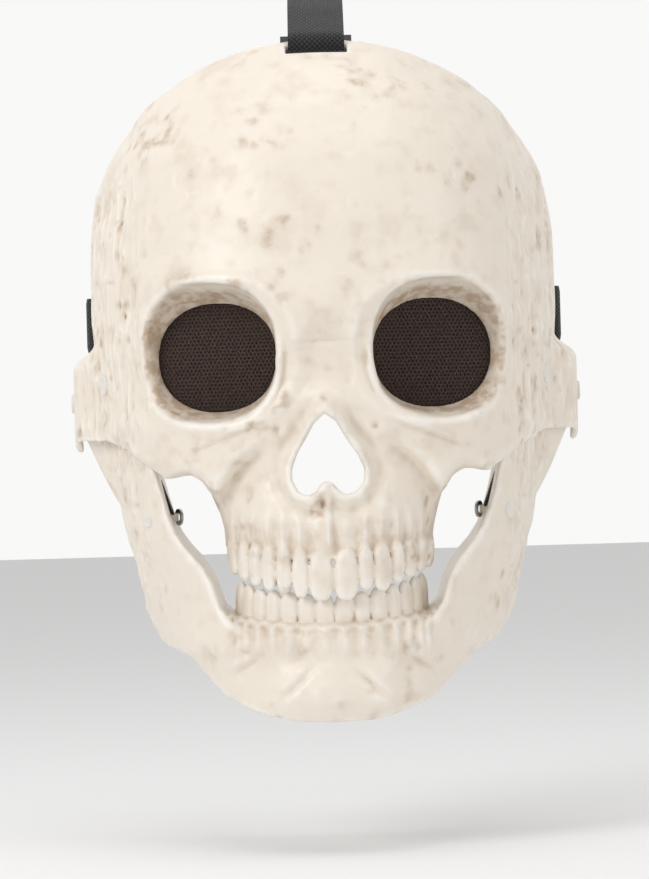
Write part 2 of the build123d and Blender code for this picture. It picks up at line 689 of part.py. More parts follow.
with BuildPart() as crown_strap:
    extrude(
        crown_sector(crown_inner, crown_outer, crown_start + SEWN_ANGLE, rear_end),
        amount=WEBBING_WIDTH / 2,
        both=True,
    )
    # under the bar and back over it, sewn together where the two runs meet
    for way, meeting in ((-1, crown_inner), (1, crown_outer)):
        near = crown_point(crown_reach + way * LOOP_RADIUS, crown_start)
        far = crown_point(meeting, crown_start + SEWN_ANGLE + 2)
        across = Vector(0, far[0] - near[0], far[1] - near[1]).normalized() * half_webbing
        with BuildSketch(Plane.YZ):
            with BuildLine():
                Polyline(
                    (near[0] - across.Z, near[1] + across.Y),
                    (far[0] - across.Z, far[1] + across.Y),
                    (far[0] + across.Z, far[1] - across.Y),
                    (near[0] + across.Z, near[1] - across.Y),
                    close=True,
                )
            make_face()
        extrude(amount=WEBBING_WIDTH / 2, both=True)
    with BuildSketch(Plane.YZ):
        with Locations((crown_bar.Y, crown_bar.Z)):
            Circle(LOOP_RADIUS + half_webbing)
            Circle(LOOP_RADIUS - half_webbing, mode=Mode.SUBTRACT)
    extrude(amount=WEBBING_WIDTH / 2, both=True)
    # square loop at the back, which carries the rear band
    with BuildSketch(Plane.YZ):
        with Locations(((ring_inside + ring_outside) / 2, SIDE_STRAP_HEIGHT)):
            Rectangle(ring_outside - ring_inside, ring_top - ring_bottom)
            Rectangle(
                ring_outside - ring_inside - 2 * WEBBING_THICKNESS,
                ring_top - ring_bottom - 2 * WEBBING_THICKNESS,
                mode=Mode.SUBTRACT,
            )
    extrude(amount=WEBBING_WIDTH / 2, both=True)
crown_strap.part.label = "crown_strap"
export_step(crown_strap.part, "parts/crown_strap.step")

half_slider = degrees(SLIDER_LENGTH / 2 / crown_radius)
slider_low = crown_inner - SLIDER_CLEARANCE - SLIDER_SKIN
slider_high = crown_outer + SLIDER_CLEARANCE + SLIDER_SKIN
slider_front = SLIDER_ANGLE - half_slider
slider_rear = SLIDER_ANGLE + half_slider
window_angle = degrees(SLIDER_WINDOW / 2 / crown_radius)
bar_angle = degrees((SLIDER_WINDOW + SLIDER_FRAME) / 2 / crown_radius)

with BuildPart() as crown_slider:
    extrude(
        crown_sector(slider_low, slider_high, slider_front, slider_rear),
        amount=WEBBING_WIDTH / 2 + SLIDER_CLEARANCE + SLIDER_FRAME,
        both=True,
    )
    extrude(
        crown_sector(
            crown_inner - SLIDER_CLEARANCE,
            crown_outer + SLIDER_CLEARANCE,
            slider_front - 1,
            slider_rear + 1,
        ),
        amount=WEBBING_WIDTH / 2 + SLIDER_CLEARANCE,
        both=True,
        mode=Mode.SUBTRACT,
    )
    # two windows over the webbing, one each side of the middle bar
    for way in (-1, 1):
        middle = SLIDER_ANGLE + way * bar_angle
        extrude(
            crown_sector(crown_radius, slider_high + 1, middle - window_angle, middle + window_angle),
            amount=WEBBING_WIDTH / 2,
            both=True,
            mode=Mode.SUBTRACT,
        )
crown_slider.part.label = "crown_slider"
export_step(crown_slider.part, "parts/crown_slider.step")
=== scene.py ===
# %% [markdown]
# # A skull face mask with a hinged jaw
# The mask is two moulded shells, an upper skull and a lower jaw, joined at the ears by rivets.
# Webbing straps hold it on the head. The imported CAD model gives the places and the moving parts,
# and this script gives each piece its real surface. It starts by loading that frame.

# %% Load the frame
import json
import math

import bmesh
import bpy
import numpy as np
from mathutils import Matrix, Vector

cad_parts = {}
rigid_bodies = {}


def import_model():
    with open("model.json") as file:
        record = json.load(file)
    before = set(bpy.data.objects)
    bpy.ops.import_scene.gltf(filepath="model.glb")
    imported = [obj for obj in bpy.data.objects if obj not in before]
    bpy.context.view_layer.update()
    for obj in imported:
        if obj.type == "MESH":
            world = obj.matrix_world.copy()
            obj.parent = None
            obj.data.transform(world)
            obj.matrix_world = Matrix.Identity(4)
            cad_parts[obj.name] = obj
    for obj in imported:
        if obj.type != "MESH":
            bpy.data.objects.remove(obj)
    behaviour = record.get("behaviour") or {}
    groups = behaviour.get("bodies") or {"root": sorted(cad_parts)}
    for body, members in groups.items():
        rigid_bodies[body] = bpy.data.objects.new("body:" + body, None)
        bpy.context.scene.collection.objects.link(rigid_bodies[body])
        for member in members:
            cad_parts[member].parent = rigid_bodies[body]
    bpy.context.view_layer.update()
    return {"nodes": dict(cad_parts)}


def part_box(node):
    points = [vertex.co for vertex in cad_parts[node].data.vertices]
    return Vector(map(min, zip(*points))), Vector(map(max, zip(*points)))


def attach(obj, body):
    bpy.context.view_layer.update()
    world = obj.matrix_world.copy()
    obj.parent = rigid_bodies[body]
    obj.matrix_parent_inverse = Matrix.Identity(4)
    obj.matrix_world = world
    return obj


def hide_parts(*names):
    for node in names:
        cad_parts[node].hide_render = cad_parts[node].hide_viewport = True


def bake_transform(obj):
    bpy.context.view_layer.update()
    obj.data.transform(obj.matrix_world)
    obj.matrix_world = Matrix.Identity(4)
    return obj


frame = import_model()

bpy.ops.object.select_all(action="DESELECT")
bpy.context.tool_settings.mesh_select_mode = (False, False, True)

# %% [markdown]
# ## Sizes shared by the shells
# Everything is worked in millimetres here and turned to metres when a mesh is made. The shell forms
# are the same horizontal sections that the CAD model uses: at each height, a half width and a depth
# in front of the hinge line. Heights between sections are filled in smoothly.

# %% Sizes and section tables
MM = 0.001
WALL = 2.2
SQUARENESS = 2.3
LOBE_X = (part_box("upper_skull")[1] / MM).x
TAB_X = (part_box("lower_jaw")[1] / MM).x
RIM_POINT = (-62.0, 127.2)
RIM_RISE = 1.18

# height, half width, depth
BOWL = ((-40, 81, 101), (-28, 82.5, 102.5), (0, 83, 102.5), (30, 85.5, 104), (60, 85, 102.5),
        (85, 81.2, 96), (105, 69.5, 86), (120, 55.5, 71.5), (131, 43, 56.5))
MUZZLE = ((0, 36, 42), (-28, 43.4, 45), (-36, 40.6, 45), (-44, 38.6, 45.2), (-50, 37.2, 45.6),
          (-55, 37.8, 46), (-60, 37.8, 46.4), (-78, 37.2, 47.2))
JAW = ((0, 78, 96.5), (-12, 78, 97), (-30, 77.5, 98), (-45, 75.5, 99), (-62, 70.5, 100), (-80, 67, 101),
       (-92, 62, 103.5), (-104, 53, 105), (-118, 45, 102.5))
ALVEOLAR = ((-60, 34.4, 43.0), (-71, 34.8, 43.0), (-80, 36.6, 43.4), (-90, 40, 44.5), (-118, 42, 44.5))
ARCH_BACK = -58.0
EYE_X, EYE_Y, EYE_Z = 37.2, -79.0, 13.9
EYE_TURN = math.radians(20)


def along(table, heights, column, soften=4.0):
    """Values of a section table at many heights, with its corners rounded."""
    rows = sorted(table)
    at = [row[0] for row in rows]
    value = [row[column] for row in rows]
    total = 0
    for shift in (-1, -0.5, 0, 0.5, 1):
        total = total + np.interp(heights + shift * soften, at, value)
    return total / 5


print("lobe plane", round(LOBE_X, 2), "tab plane", round(TAB_X, 2))

# %% [markdown]
# ## Clay in a block of measuring points
# A skull is all blended masses and hollows, which no single primitive or extrusion gives. So the two
# shells are worked like clay: every point of a block holds its distance to the surface, masses are
# blended in, hollows are cut, and at the end a skin is drawn where the distance is zero. Walls
# come out at one thickness, and the holes are real holes.


# %% The block and its tools
class Block:
    """Points on a regular lattice, in millimetres."""

    def __init__(self, low, high, step):
        self.low = np.array(low, float)
        self.step = step
        axes = [np.arange(a, b + step, step, dtype=np.float32) for a, b in zip(low, high)]
        self.x = axes[0][:, None, None]
        self.y = axes[1][None, :, None]
        self.z = axes[2][None, None, :]


def join(a, b, soft):
    """Two masses run together, with a fillet about as wide as soft."""
    share = np.clip(0.5 + 0.5 * (b - a) / soft, 0, 1)
    return b + (a - b) * share - soft * share * (1 - share)


def cut(a, b, soft):
    """Mass a kept only where b is negative, with its new edge rounded."""
    return -join(-a, -b, soft)


def ease(value, start, end):
    """0 before start, 1 after end, and a smooth rise between."""
    t = np.clip((value - start) / (end - start), 0, 1)
    return t * t * (3 - 2 * t)


def mound(u, v, width, height):
    """A soft round hill over two coordinates."""
    return np.exp(-((u / width) ** 2) - (v / height) ** 2)


def arch(block, table, back, swell=0.0):
    """Distance to a superellipse arch that runs straight behind Y = back."""
    half = along(table, block.z, 1) + swell
    depth = along(table, block.z, 2)
    slope = np.gradient(depth.ravel(), block.step)[None, None, :]
    forward = np.minimum(block.y - back, 0)
    ring = (np.abs(block.x) / half) ** SQUARENESS + (np.abs(forward) / depth) ** SQUARENESS
    ring = ring ** (1 / SQUARENESS)
    reach = np.sqrt(block.x**2 + forward**2)
    lean = 1 + (np.sqrt(1 + slope**2) - 1) * np.clip(-forward / (reach + 1e-3), 0, 1)
    return ((ring - 1) * reach / (ring + 1e-4) / lean).astype(np.float32)


def outline(points, u, v):
    """Signed distance to a closed outline in two coordinates, negative inside."""
    u, v = np.broadcast_arrays(u, v)
    nearest = np.full(u.shape, 1e9, np.float32)
    inside = np.zeros(u.shape, bool)
    for (ax, az), (bx, bz) in zip(points, points[1:] + points[:1]):
        ex, ez = bx - ax, bz - az
        t = np.clip(((u - ax) * ex + (v - az) * ez) / (ex * ex + ez * ez), 0, 1)
        nearest = np.minimum(nearest, (u - ax - t * ex) ** 2 + (v - az - t * ez) ** 2)
        if bz != az:
            inside ^= ((v > az) != (v > bz)) & (u < ax + ex * (v - az) / ez)
    distance = np.sqrt(nearest)
    return np.where(inside, -distance, distance).astype(np.float32)


print("clay tools ready")

# %% [markdown]
# The skin is one point in each small cube that the surface passes through, at the middle of its
# crossings, and a square face for every lattice edge that the surface crosses.


# %% Draw the skin
def skin(field, block, name):
    """Closed mesh object where the field is zero, faces outwards."""
    solid = field < 0
    count = np.zeros(tuple(n - 1 for n in solid.shape), np.int8)
    corners = [(i, j, k) for i in (0, 1) for j in (0, 1) for k in (0, 1)]
    for i, j, k in corners:
        count += solid[i : i + count.shape[0], j : j + count.shape[1], k : k + count.shape[2]]
    cells = np.argwhere((count > 0) & (count < 8))
    number = np.full(count.shape, -1, np.int32)
    number[tuple(cells.T)] = np.arange(len(cells))
    place = np.zeros((len(cells), 3))
    hits = np.zeros(len(cells))
    for axis in range(3):
        for corner in corners:
            if corner[axis]:
                continue
            start = cells + corner
            end = start.copy()
            end[:, axis] += 1
            a = field[tuple(start.T)]
            b = field[tuple(end.T)]
            crossing = (a < 0) != (b < 0)
            share = a[crossing] / (a[crossing] - b[crossing])
            step = np.tile(np.array(corner, float), (len(share), 1))
            step[:, axis] += share
            place[crossing] += step
            hits[crossing] += 1
    points = (block.low + block.step * (cells + place / hits[:, None])) * MM
    faces = []
    for axis in range(3):
        b, c = (axis + 1) % 3, (axis + 2) % 3
        here = [slice(1, None)] * 3
        there = [slice(1, None)] * 3
        here[axis] = slice(0, -1)
        there[axis] = slice(1, None)
        change = solid[tuple(here)] != solid[tuple(there)]
        spots = np.argwhere(change)
        spots[:, b] += 1
        spots[:, c] += 1
        full = solid[tuple(spots.T)]
        ring = []
        for db, dc in ((1, 1), (0, 1), (0, 0), (1, 0)):
            cell = spots.copy()
            cell[:, b] -= db
            cell[:, c] -= dc
            cell = np.minimum(cell, np.array(count.shape) - 1)
            ring.append(number[tuple(cell.T)])
        quad = np.stack(ring, 1)
        quad[~full] = quad[~full][:, ::-1]
        faces.append(quad)
    faces = np.concatenate(faces)
    faces = faces[(faces >= 0).all(1)]
    mesh = bpy.data.meshes.new(name)
    mesh.vertices.add(len(points))
    mesh.vertices.foreach_set("co", points.astype(np.float32).ravel())
    mesh.loops.add(faces.size)
    mesh.loops.foreach_set("vertex_index", faces.ravel().astype(np.int32))
    mesh.polygons.add(len(faces))
    mesh.polygons.foreach_set("loop_start", np.arange(0, faces.size, 4, dtype=np.int32))
    mesh.update(calc_edges=True)
    mesh.validate()
    thing = bpy.data.objects.new(name, mesh)
    bpy.context.scene.collection.objects.link(thing)
    return thing


def choose(thing):
    """Make one object the only selected and the active one."""
    bpy.ops.object.select_all(action="DESELECT")
    thing.select_set(True)
    bpy.context.view_layer.objects.active = thing


def keep_largest(thing):
    """Delete loose crumbs, leaving the biggest connected lump."""
    mesh = thing.data
    edges = np.zeros(len(mesh.edges) * 2, np.int32)
    mesh.edges.foreach_get("vertices", edges)
    edges = edges.reshape(-1, 2)
    label = np.arange(len(mesh.vertices))
    while True:
        low = np.minimum(label[edges[:, 0]], label[edges[:, 1]])
        before = label.copy()
        np.minimum.at(label, edges[:, 0], low)
        np.minimum.at(label, edges[:, 1], low)
        label = label[label]
        if (before == label).all():
            break
    biggest = np.bincount(label).argmax()
    drop = np.flatnonzero(label != biggest)
    if len(drop):
        work = bmesh.new()
        work.from_mesh(mesh)
        work.verts.ensure_lookup_table()
        bmesh.ops.delete(work, geom=[work.verts[i] for i in drop], context="VERTS")
        work.to_mesh(mesh)
        work.free()
    return len(drop)


def thin_out(thing, triangles):
    """Collapse a mesh to about this many triangles, where it is flattest first."""
    mesh = thing.data
    now = sum(len(p.vertices) - 2 for p in mesh.polygons)
    if now > triangles:
        choose(thing)
        fewer = thing.modifiers.new("fewer", "DECIMATE")
        fewer.ratio = triangles / now
        bpy.ops.object.modifier_apply(modifier=fewer.name)
    return now


DETAIL = 0.7
print("skin step", DETAIL, "mm")

# %% [markdown]
# ## The upper skull
# The bowl is the forehead, temples and cheekbones, and the muzzle is the narrower arch that carries
# the upper teeth. The bowl's lower edge is the underside of the cheekbones. At the ears the wall
# flares out to the flat round lobe that covers the jaw's hinge tab.

# %% Masses of the upper skull
skull = Block((-96, -112, -74), (96, 19, 131), DETAIL)
CHEEK_X = (0, 12, 22, 33, 39, 42, 44.4, 48, 51, 57, 61, 66, 71, 75, 80, 86, 100)
CHEEK_Z = (-8, -11, -17, -27, -34, -32, -29, -27.2, -27.2, -28.6, -26.3, -22, -18.5, -16, -15, -21, -21)


def lobe_swell(block):
    """How far the wall flares out to the hinge lobe, over Y and height."""
    half = along(BOWL, block.z, 1)
    rise = ease(block.y, -36, -13) * ease(-block.z, -21.5, -12.5)
    return (LOBE_X - half) * rise


bowl = arch(skull, BOWL, 0, lobe_swell(skull))
side = np.abs(skull.x)
cheek_line = np.interp(side.ravel(), CHEEK_X, CHEEK_Z)[:, None, None].astype(np.float32)
bowl = cut(bowl, cheek_line - skull.z, 6.0)
muzzle = cut(arch(skull, MUZZLE, ARCH_BACK), skull.z + 2, 6.0)
base = join(bowl, muzzle, 9.0)
print("lattice", bowl.shape)

# %% [markdown]
# The relief is a map over the front view: how far each spot stands out or sinks in. Each line below is
# one thing that a sculptor would add: brow, bridge of the nose, hollow under the cheekbone, roots of
# the teeth. It is laid on the outside only, so the inside of the shell stays smooth.

# %% Relief of the upper skull
ORBIT = (37.3, 15.0, 25.2, 23.2)
NOSE = [(-0.6, -6.6), (3.2, -9.5), (6.6, -15.5), (10.6, -21.5), (12.7, -26.2), (12.3, -30.6), (9.6, -34),
        (6.0, -34.9), (3.4, -33), (1.6, -30.7), (-0.6, -30), (-2.6, -30.9), (-4.2, -33.4), (-6.8, -35.2),
        (-10.2, -33.8), (-12.4, -29.8), (-12.4, -25.6), (-10.4, -20.2), (-7.2, -15), (-4.4, -10)]
MEASURE = 2.6  # exponent of a tooth's rounded block
MIDLINE = 1.0
# each tooth's width and biting edge, from the middle back, on the wearer's left and then the right
UPPER_ROWS = (
    ((8.7, -71.4), (5.6, -68.0), (7.4, -68.6), (6.0, -66.0), (7.2, -64.2), (8.4, -62.6), (9.0, -61.4)),
    ((8.7, -71.2), (6.2, -70.0), (6.2, -68.6), (6.2, -67.4), (6.8, -65.8), (8.2, -64.0), (9.0, -62.2)))
LOWER_ROWS = (
    ((6.9, -69.2), (6.2, -69.0), (7.0, -67.6), (6.4, -66.8), (7.4, -66.0), (8.6, -64.8), (9.0, -63.8)),
    ((6.9, -69.2), (6.4, -69.2), (6.8, -68.4), (6.6, -67.8), (7.4, -67.2), (8.6, -66.0), (9.0, -65.0)))


def walk(table, height):
    """Places along an arch from its middle to its back: X, Y, way outwards and distance walked."""
    half_width = float(along(table, np.array([height]), 1)[0])
    depth = float(along(table, np.array([height]), 2)[0])
    turn = np.linspace(0, math.pi / 2, 400)
    x = half_width * np.sin(turn) ** (2 / SQUARENESS)
    forward = depth * np.cos(turn) ** (2 / SQUARENESS)
    nx = (x / half_width) ** (SQUARENESS - 1) / half_width
    ny = -((forward / depth) ** (SQUARENESS - 1)) / depth
    size = np.hypot(nx, ny)
    gone = np.concatenate([[0], np.cumsum(np.hypot(np.diff(x), np.diff(forward)))])
    return x, ARCH_BACK - forward, nx / size, ny / size, gone


def tooth_places(table, rows):
    """Each tooth's place on the arch, way outwards, width and biting edge."""
    places = []
    for way, row in zip((1, -1), rows):
        x, y, nx, ny, gone = walk(table, row[0][1])
        at = way * MIDLINE
        for width, tip in row:
            px, py, mx, my = (float(np.interp(at + width / 2, gone, v)) for v in (x, y, nx, ny))
            places.append((way * px, py, way * mx, my, width, tip))
            at += width
    return places


UPPER_TEETH = tooth_places(MUZZLE, UPPER_ROWS)
LOWER_TEETH = tooth_places(ALVEOLAR, LOWER_ROWS)


def tooth_hills(x, teeth, share):
    """A hill over each tooth across the face, narrower where the arch turns back."""
    hills = np.zeros_like(x)
    for px, _, _, my, width, _ in teeth:
        if abs(px) < 35:
            hills = hills + np.exp(-(((x - px) / (share * width * max(abs(my), 0.35))) ** 2))
    return hills


def gum_line(x):
    """Height of the upper gum's edge: an arc, with a scallop over each tooth."""
    return -57.8 + 4.4 * (np.abs(x) / 36) ** 2 + 1.5 * tooth_hills(x, UPPER_TEETH, 0.34)


def pit(block, x, z, size, depth):
    return -depth * mound(block.x - x, block.z - z, size, size)


def skull_relief(block):
    x, z = block.x, block.z
    wide = np.abs(x)
    u, v, a, b = wide - ORBIT[0], z - ORBIT[1], ORBIT[2], ORBIT[3]
    ring = ((np.abs(u) / a) ** 2.4 + (np.abs(v) / b) ** 2.4) ** (1 / 2.4)
    off_rim = (ring - 1) * b
    relief = 1.3 * np.exp(-(((off_rim - 2.2) / 2.6) ** 2))
    relief = relief + 2.6 * mound(wide - 40, z - 42, 24, 7) + 1.2 * mound(wide - 60, z - 30, 8, 9)
    relief = relief + 2.6 * mound(x, z - 33, 15, 10)
    relief = relief - 3.6 * mound(x, z - 10, 12, 9) - 0.9 * mound(x, z - 18.6, 9, 1.1)
    bridge = ease(-z, -22, -12) * ease(z, -40, -26)
    relief = relief - 2.6 * bridge * (1 - np.exp(-((x / 11) ** 2))) * np.exp(-((wide / 26) ** 4))
    relief = relief + 2.6 * mound(x, z + 4, 6.5, 7)
    hole = outline(NOSE, x, z)
    relief = relief + 1.5 * np.exp(-(((hole - 1.4) / 1.5) ** 2)) - 1.2 * np.exp(-(((hole - 5.5) / 2.2) ** 2))
    relief = relief + 1.5 * np.exp(-(((x + 0.3) / 1.1) ** 2)) * ease(-z, 30, 33) * ease(z, -56, -50)
    relief = relief - 2.3 * mound(wide - 28, z + 27, 10, 10) + 2.4 * mound(wide - 59, z + 10, 13, 9)
    drop = -(z + 9.3) - (wide - 24) * 0.38
    crease = ease(wide, 19, 27) * ease(-wide, -52, -43)
    relief = relief - 1.2 * crease * ease(drop, -0.6, 0.9) * np.exp(-np.clip(drop, 0, 40) / 7)
    relief = relief - 1.5 * ease(wide, 60, 68) * ease(z, 18, 34) * ease(-z, -112, -88)
    relief = relief + 1.6 * mound(wide - 35, z - 84, 26, 18)
    relief = relief + 1.2 * ease(z, -60, -54) * ease(-z, 36, 48) * tooth_hills(x, UPPER_TEETH, 0.30)
    relief = relief - 0.9 * ease(-z, 42, 52) * ease(wide, 0, 3) * np.exp(-((wide / 40) ** 6))
    edge = z - gum_line(x)
    relief = relief + 0.7 * np.exp(-(((edge - 0.6) / 0.8) ** 2))
    for spot in ((17, -11.5, 1.5, 1.2), (-17.4, -12, 1.5, 1.2), (63, -1, 1.3, 0.9), (-61, 0, 1.3, 0.9),
                 (6, 58, 1.2, 0.4), (-24, 70, 1.4, 0.4), (31, 63, 1.2, 0.4), (-9, 92, 1.1, 0.3)):
        relief = relief + pit(block, *spot)
    return relief


def hollows(relief, block, reach=3.0):
    """The deepest part of a relief near each spot, for the inner wall to follow."""
    deep = np.minimum(relief, 0)
    steps = max(int(round(reach / block.step)), 1)
    for shift in [s for s in range(-steps, steps + 1) if s]:
        deep = np.minimum(deep, np.roll(np.minimum(relief, 0), shift, 0))
    wide = deep.copy()
    for shift in [s for s in range(-steps, steps + 1) if s]:
        wide = np.minimum(wide, np.roll(deep, shift, 2))
    return wide


quiet = 1 - ease(skull.y, -34, -16)
relief = skull_relief(skull)
outside = base - (relief * quiet).astype(np.float32)
inside = base - (hollows(relief, skull) * quiet).astype(np.float32) + WALL
print("relief laid on")

# %% [markdown]
# Now the outside is hollowed to a wall, the face space is cleared behind it, and the free edges are
# trimmed: the rim by a sloping plane, the ears and the temple by a side outline, the gum by its
# scalloped line. Then the eye sockets are added as flared tubes and bored out.

# %% Hollow and trim
field = np.maximum(outside, -inside)
within = arch(skull, BOWL, 0, lobe_swell(skull)) + 3.4
face_space = np.maximum(np.maximum(-(skull.y + 74), within), skull.z + 6)
face_space = np.maximum(face_space, -np.maximum(muzzle, skull.y - ARCH_BACK))
field = cut(field, -face_space, 2.0)
rim = ((skull.y - RIM_POINT[0]) * RIM_RISE + (skull.z - RIM_POINT[1])) / math.hypot(RIM_RISE, 1)
field = cut(field, rim, 1.4)
SKULL_SIDE = [(-140, 150), (9, 150), (9, 21), (11.5, 14.5), (14.4, 7), (15, 1), (14.4, -6), (12, -12),
              (7.5, -16.6), (1.5, -18.2), (-4, -17.4), (-10, -15.2), (-17, -14), (-27, -14), (-34, -15.4),
              (-41, -20), (-50, -90), (-140, -90)]
field = cut(field, outline(SKULL_SIDE, skull.y, skull.z), 1.2)
field = cut(field, gum_line(skull.x) - skull.z, 1.0)
field = cut(field, np.where(skull.z < -34, skull.y - ARCH_BACK, -50), 1.2)


def socket(block, way, grow):
    """Distance to the flared tube of an eye socket, and the distance in front of its mesh."""
    dx, dy = block.x - way * EYE_X, block.y - EYE_Y
    u = dx * math.cos(EYE_TURN) + dy * way * math.sin(EYE_TURN)
    ahead = dx * way * math.sin(EYE_TURN) - dy * math.cos(EYE_TURN)
    flare = np.clip(ahead, -1, 16)
    v = block.z - EYE_Z - 0.09 * flare
    a = 21.6 + 0.36 * flare + grow
    b = 18.4 + 0.37 * flare + grow
    corner = 2.15 + 0.03 * np.clip(flare, 0, 12)
    ring = ((np.abs(u) / a) ** corner + (np.abs(v) / b) ** corner) ** (1 / corner)
    return (ring - 1) * np.sqrt(u**2 + v**2) / (ring + 1e-4), ahead


for way in (-1, 1):
    tube, ahead = socket(skull, way, WALL)
    tube = np.maximum(np.maximum(tube, -ahead), base + 0.6)
    field = join(field, tube, 1.5)
    bore, ahead = socket(skull, way, 0.0)
    field = cut(field, -bore, 2.4)
field = cut(field, -np.maximum(outline(NOSE, skull.x, skull.z), skull.y + 72), 1.3)
print("hollowed, bored and trimmed")

# %% [markdown]
# ## Teeth
# The teeth are moulded in one piece with their shell. Each is a rounded peg, set square to the arch
# with its root sunk in the gum, a little wider at its biting edge. Their widths are laid off along the
# arch from its middle, on each side.


# %% One row of teeth
def peg(field, block, centre, normal, half, tip_way):
    """Blend one tooth into the clay. tip_way is -1 for an upper tooth and 1 for a lower one."""
    reach = max(half) + 3
    spans = []
    for low, size, middle in zip(block.low, field.shape, centre):
        first = max(int((middle - reach - low) / block.step), 0)
        spans.append(slice(first, max(first, min(int((middle + reach - low) / block.step) + 1, size))))
    spans = tuple(spans)
    x = block.x[spans[0]] - centre[0]
    y = block.y[:, spans[1]] - centre[1]
    z = block.z[:, :, spans[2]] - centre[2]
    aside = y * normal[0] - x * normal[1]
    out = x * normal[0] + y * normal[1]
    lean = tip_way * z / half[2]
    wide = half[0] * (1 + 0.10 * lean)
    deep = half[1] * (1 - 0.18 * lean)
    size = np.abs(aside / wide) ** MEASURE + np.abs(out / deep) ** MEASURE + np.abs(z / half[2]) ** MEASURE
    size = size ** (1 / MEASURE)
    lump = (size - 1) * np.sqrt(aside**2 + out**2 + z**2) / (size + 1e-3)
    field[spans] = join(field[spans], lump, 0.25)


def tooth_row(field, block, teeth, gum, proud, tip_way, thick):
    """Add a row of teeth, each standing proud of the arch and rooted behind the gum's edge."""
    for px, py, mx, my, width, tip in teeth:
        root = gum(px) - tip_way * 2.4
        inward = proud - thick
        centre = (px + mx * inward, py + my * inward, (root + tip) / 2)
        peg(field, block, centre, (mx, my), (width * 0.475, thick, abs(root - tip) / 2 + 0.4), tip_way)


tooth_row(field, skull, UPPER_TEETH, gum_line, 1.1, -1, 2.1)
print("upper teeth", len(UPPER_TEETH))

# %% [markdown]
# The webbing passes through three slots, and each rivet sits on a small flat seat. The seats' places are
# read from the CAD pieces and the slots are set by given numbers, so they line up with the straps and rivets.


# %% Slots and rivet seats
def seat(block, rivet, washer):
    """Open space in front of a rivet's head, from the rivet's own box and its washer's."""
    corners = [(a + b) / 2 / MM for a, b in (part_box(rivet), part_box(washer))]
    head, inner = (np.array(corner) for corner in corners)
    axis = (head - inner) / np.linalg.norm(head - inner)
    reach = np.array(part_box(rivet)[1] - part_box(rivet)[0]) / MM
    length = float(np.abs(reach @ np.abs(axis)))
    dx, dy, dz = block.x - head[0], block.y - head[1], block.z - head[2]
    out = dx * axis[0] + dy * axis[1] + dz * axis[2]
    aside = np.sqrt(np.maximum(dx**2 + dy**2 + dz**2 - out**2, 0))
    return np.maximum(aside - 3.75, length / 2 - 2.6 - out)


SLOT_HALF_WIDE, SLOT_HALF_LONG = 2.5, 10.75
side_slot = np.maximum(np.abs(skull.y - 2.9) - SLOT_HALF_WIDE, np.abs(skull.z - 29) - SLOT_HALF_LONG)
field = cut(field, -np.maximum(side_slot, 70 - side), 0.6)
down = np.array((-0.781, -0.625))
rise_y, rise_z = skull.y - RIM_POINT[0], skull.z - RIM_POINT[1]
run = rise_y * down[0] + rise_z * down[1]
stand = rise_y * down[1] - rise_z * down[0]
crown_slot = np.maximum(np.abs(run - 6.1) - SLOT_HALF_WIDE, side - SLOT_HALF_LONG)
crown_slot = np.maximum(crown_slot, np.abs(stand) - 9)
field = cut(field, -crown_slot, 0.6)
for name in ("left", "right"):
    field = np.maximum(field, -seat(skull, f"upper_anchor_rivet_{name}", f"upper_anchor_washer_{name}"))
skull_shell = skin(field, skull, "skull_shell")
crumbs = keep_largest(skull_shell)
print("skull shell", len(skull_shell.data.polygons), "faces,", crumbs, "crumbs removed")
del field, outside, base, bowl, muzzle, rim

# %% [markdown]
# ## The lower jaw
# The jaw is an outer arch that carries the chin and the two branches up to the hinges, and a smaller
# inner arch for the teeth. The mouth window parts them at the sides. Each branch leans out at its top
# into the flat round tab that turns on the hinge rivet, inside the skull's lobe.

# %% Masses of the jaw
jaw = Block((-93, -110, -117), (93, 15, 14), DETAIL)
MOUTH = [(63, 30), (63, -8), (62, -20), (58.5, -34), (56.5, -41), (54, -47.5), (51, -52), (47.5, -56),
         (44.5, -59.5), (41, -66), (38.5, -74), (34, -80.5), (26, -83.5), (0, -84.5)]
MOUTH = MOUTH + [(-x, z) for x, z in reversed(MOUTH[:-1])]
BORDER_X = (0, 13, 22, 29, 36, 41, 51, 58, 62, 66, 72, 100)
BORDER_Z = (-113.9, -113.5, -111.6, -109.4, -106.4, -101.6, -91.6, -89, -86.6, -80, -70, -70)
JAW_SIDE = [(-24, -95), (-22, -90), (-16, -70), (-6, -45), (3.5, -20), (9, -7.5), (10.9, -1.5), (10.6, 3),
            (7.8, 7.8), (3, 10.6), (-3, 10.6), (-7.8, 7.8), (-10.6, 3), (-11.6, -4), (-14, -8.2),
            (-20, -10), (-33, -10.6), (-60, -11), (-75, -12), (-140, -14), (-140, -130), (-30, -130)]


def tab_swell(block):
    """How far each branch leans out to the hinge tab."""
    half_width = along(JAW, block.z, 1)
    rise = np.clip((block.z + 38) / 27, 0, 1) * ease(block.y, -30, -11.5)
    return (TAB_X - half_width) * rise


outer = arch(jaw, JAW, 0, tab_swell(jaw))
mouth_edge = outline(MOUTH, jaw.x, jaw.z)
outer = cut(outer, np.where(jaw.y < -14, -mouth_edge, -50), 3.0)
inner = arch(jaw, ALVEOLAR, ARCH_BACK)
inner = np.maximum(inner, jaw.y - ARCH_BACK)

def lower_gum(x):
    """Height of the lower gum's edge, dipping between the teeth."""
    return -79.0 + 3.0 * (np.abs(x) / 34) ** 2 - 1.7 * tooth_hills(x, LOWER_TEETH, 0.36)


inner = cut(inner, jaw.z - lower_gum(jaw.x), 1.4)
base = join(outer, inner, 7.0)
print("jaw lattice", base.shape)


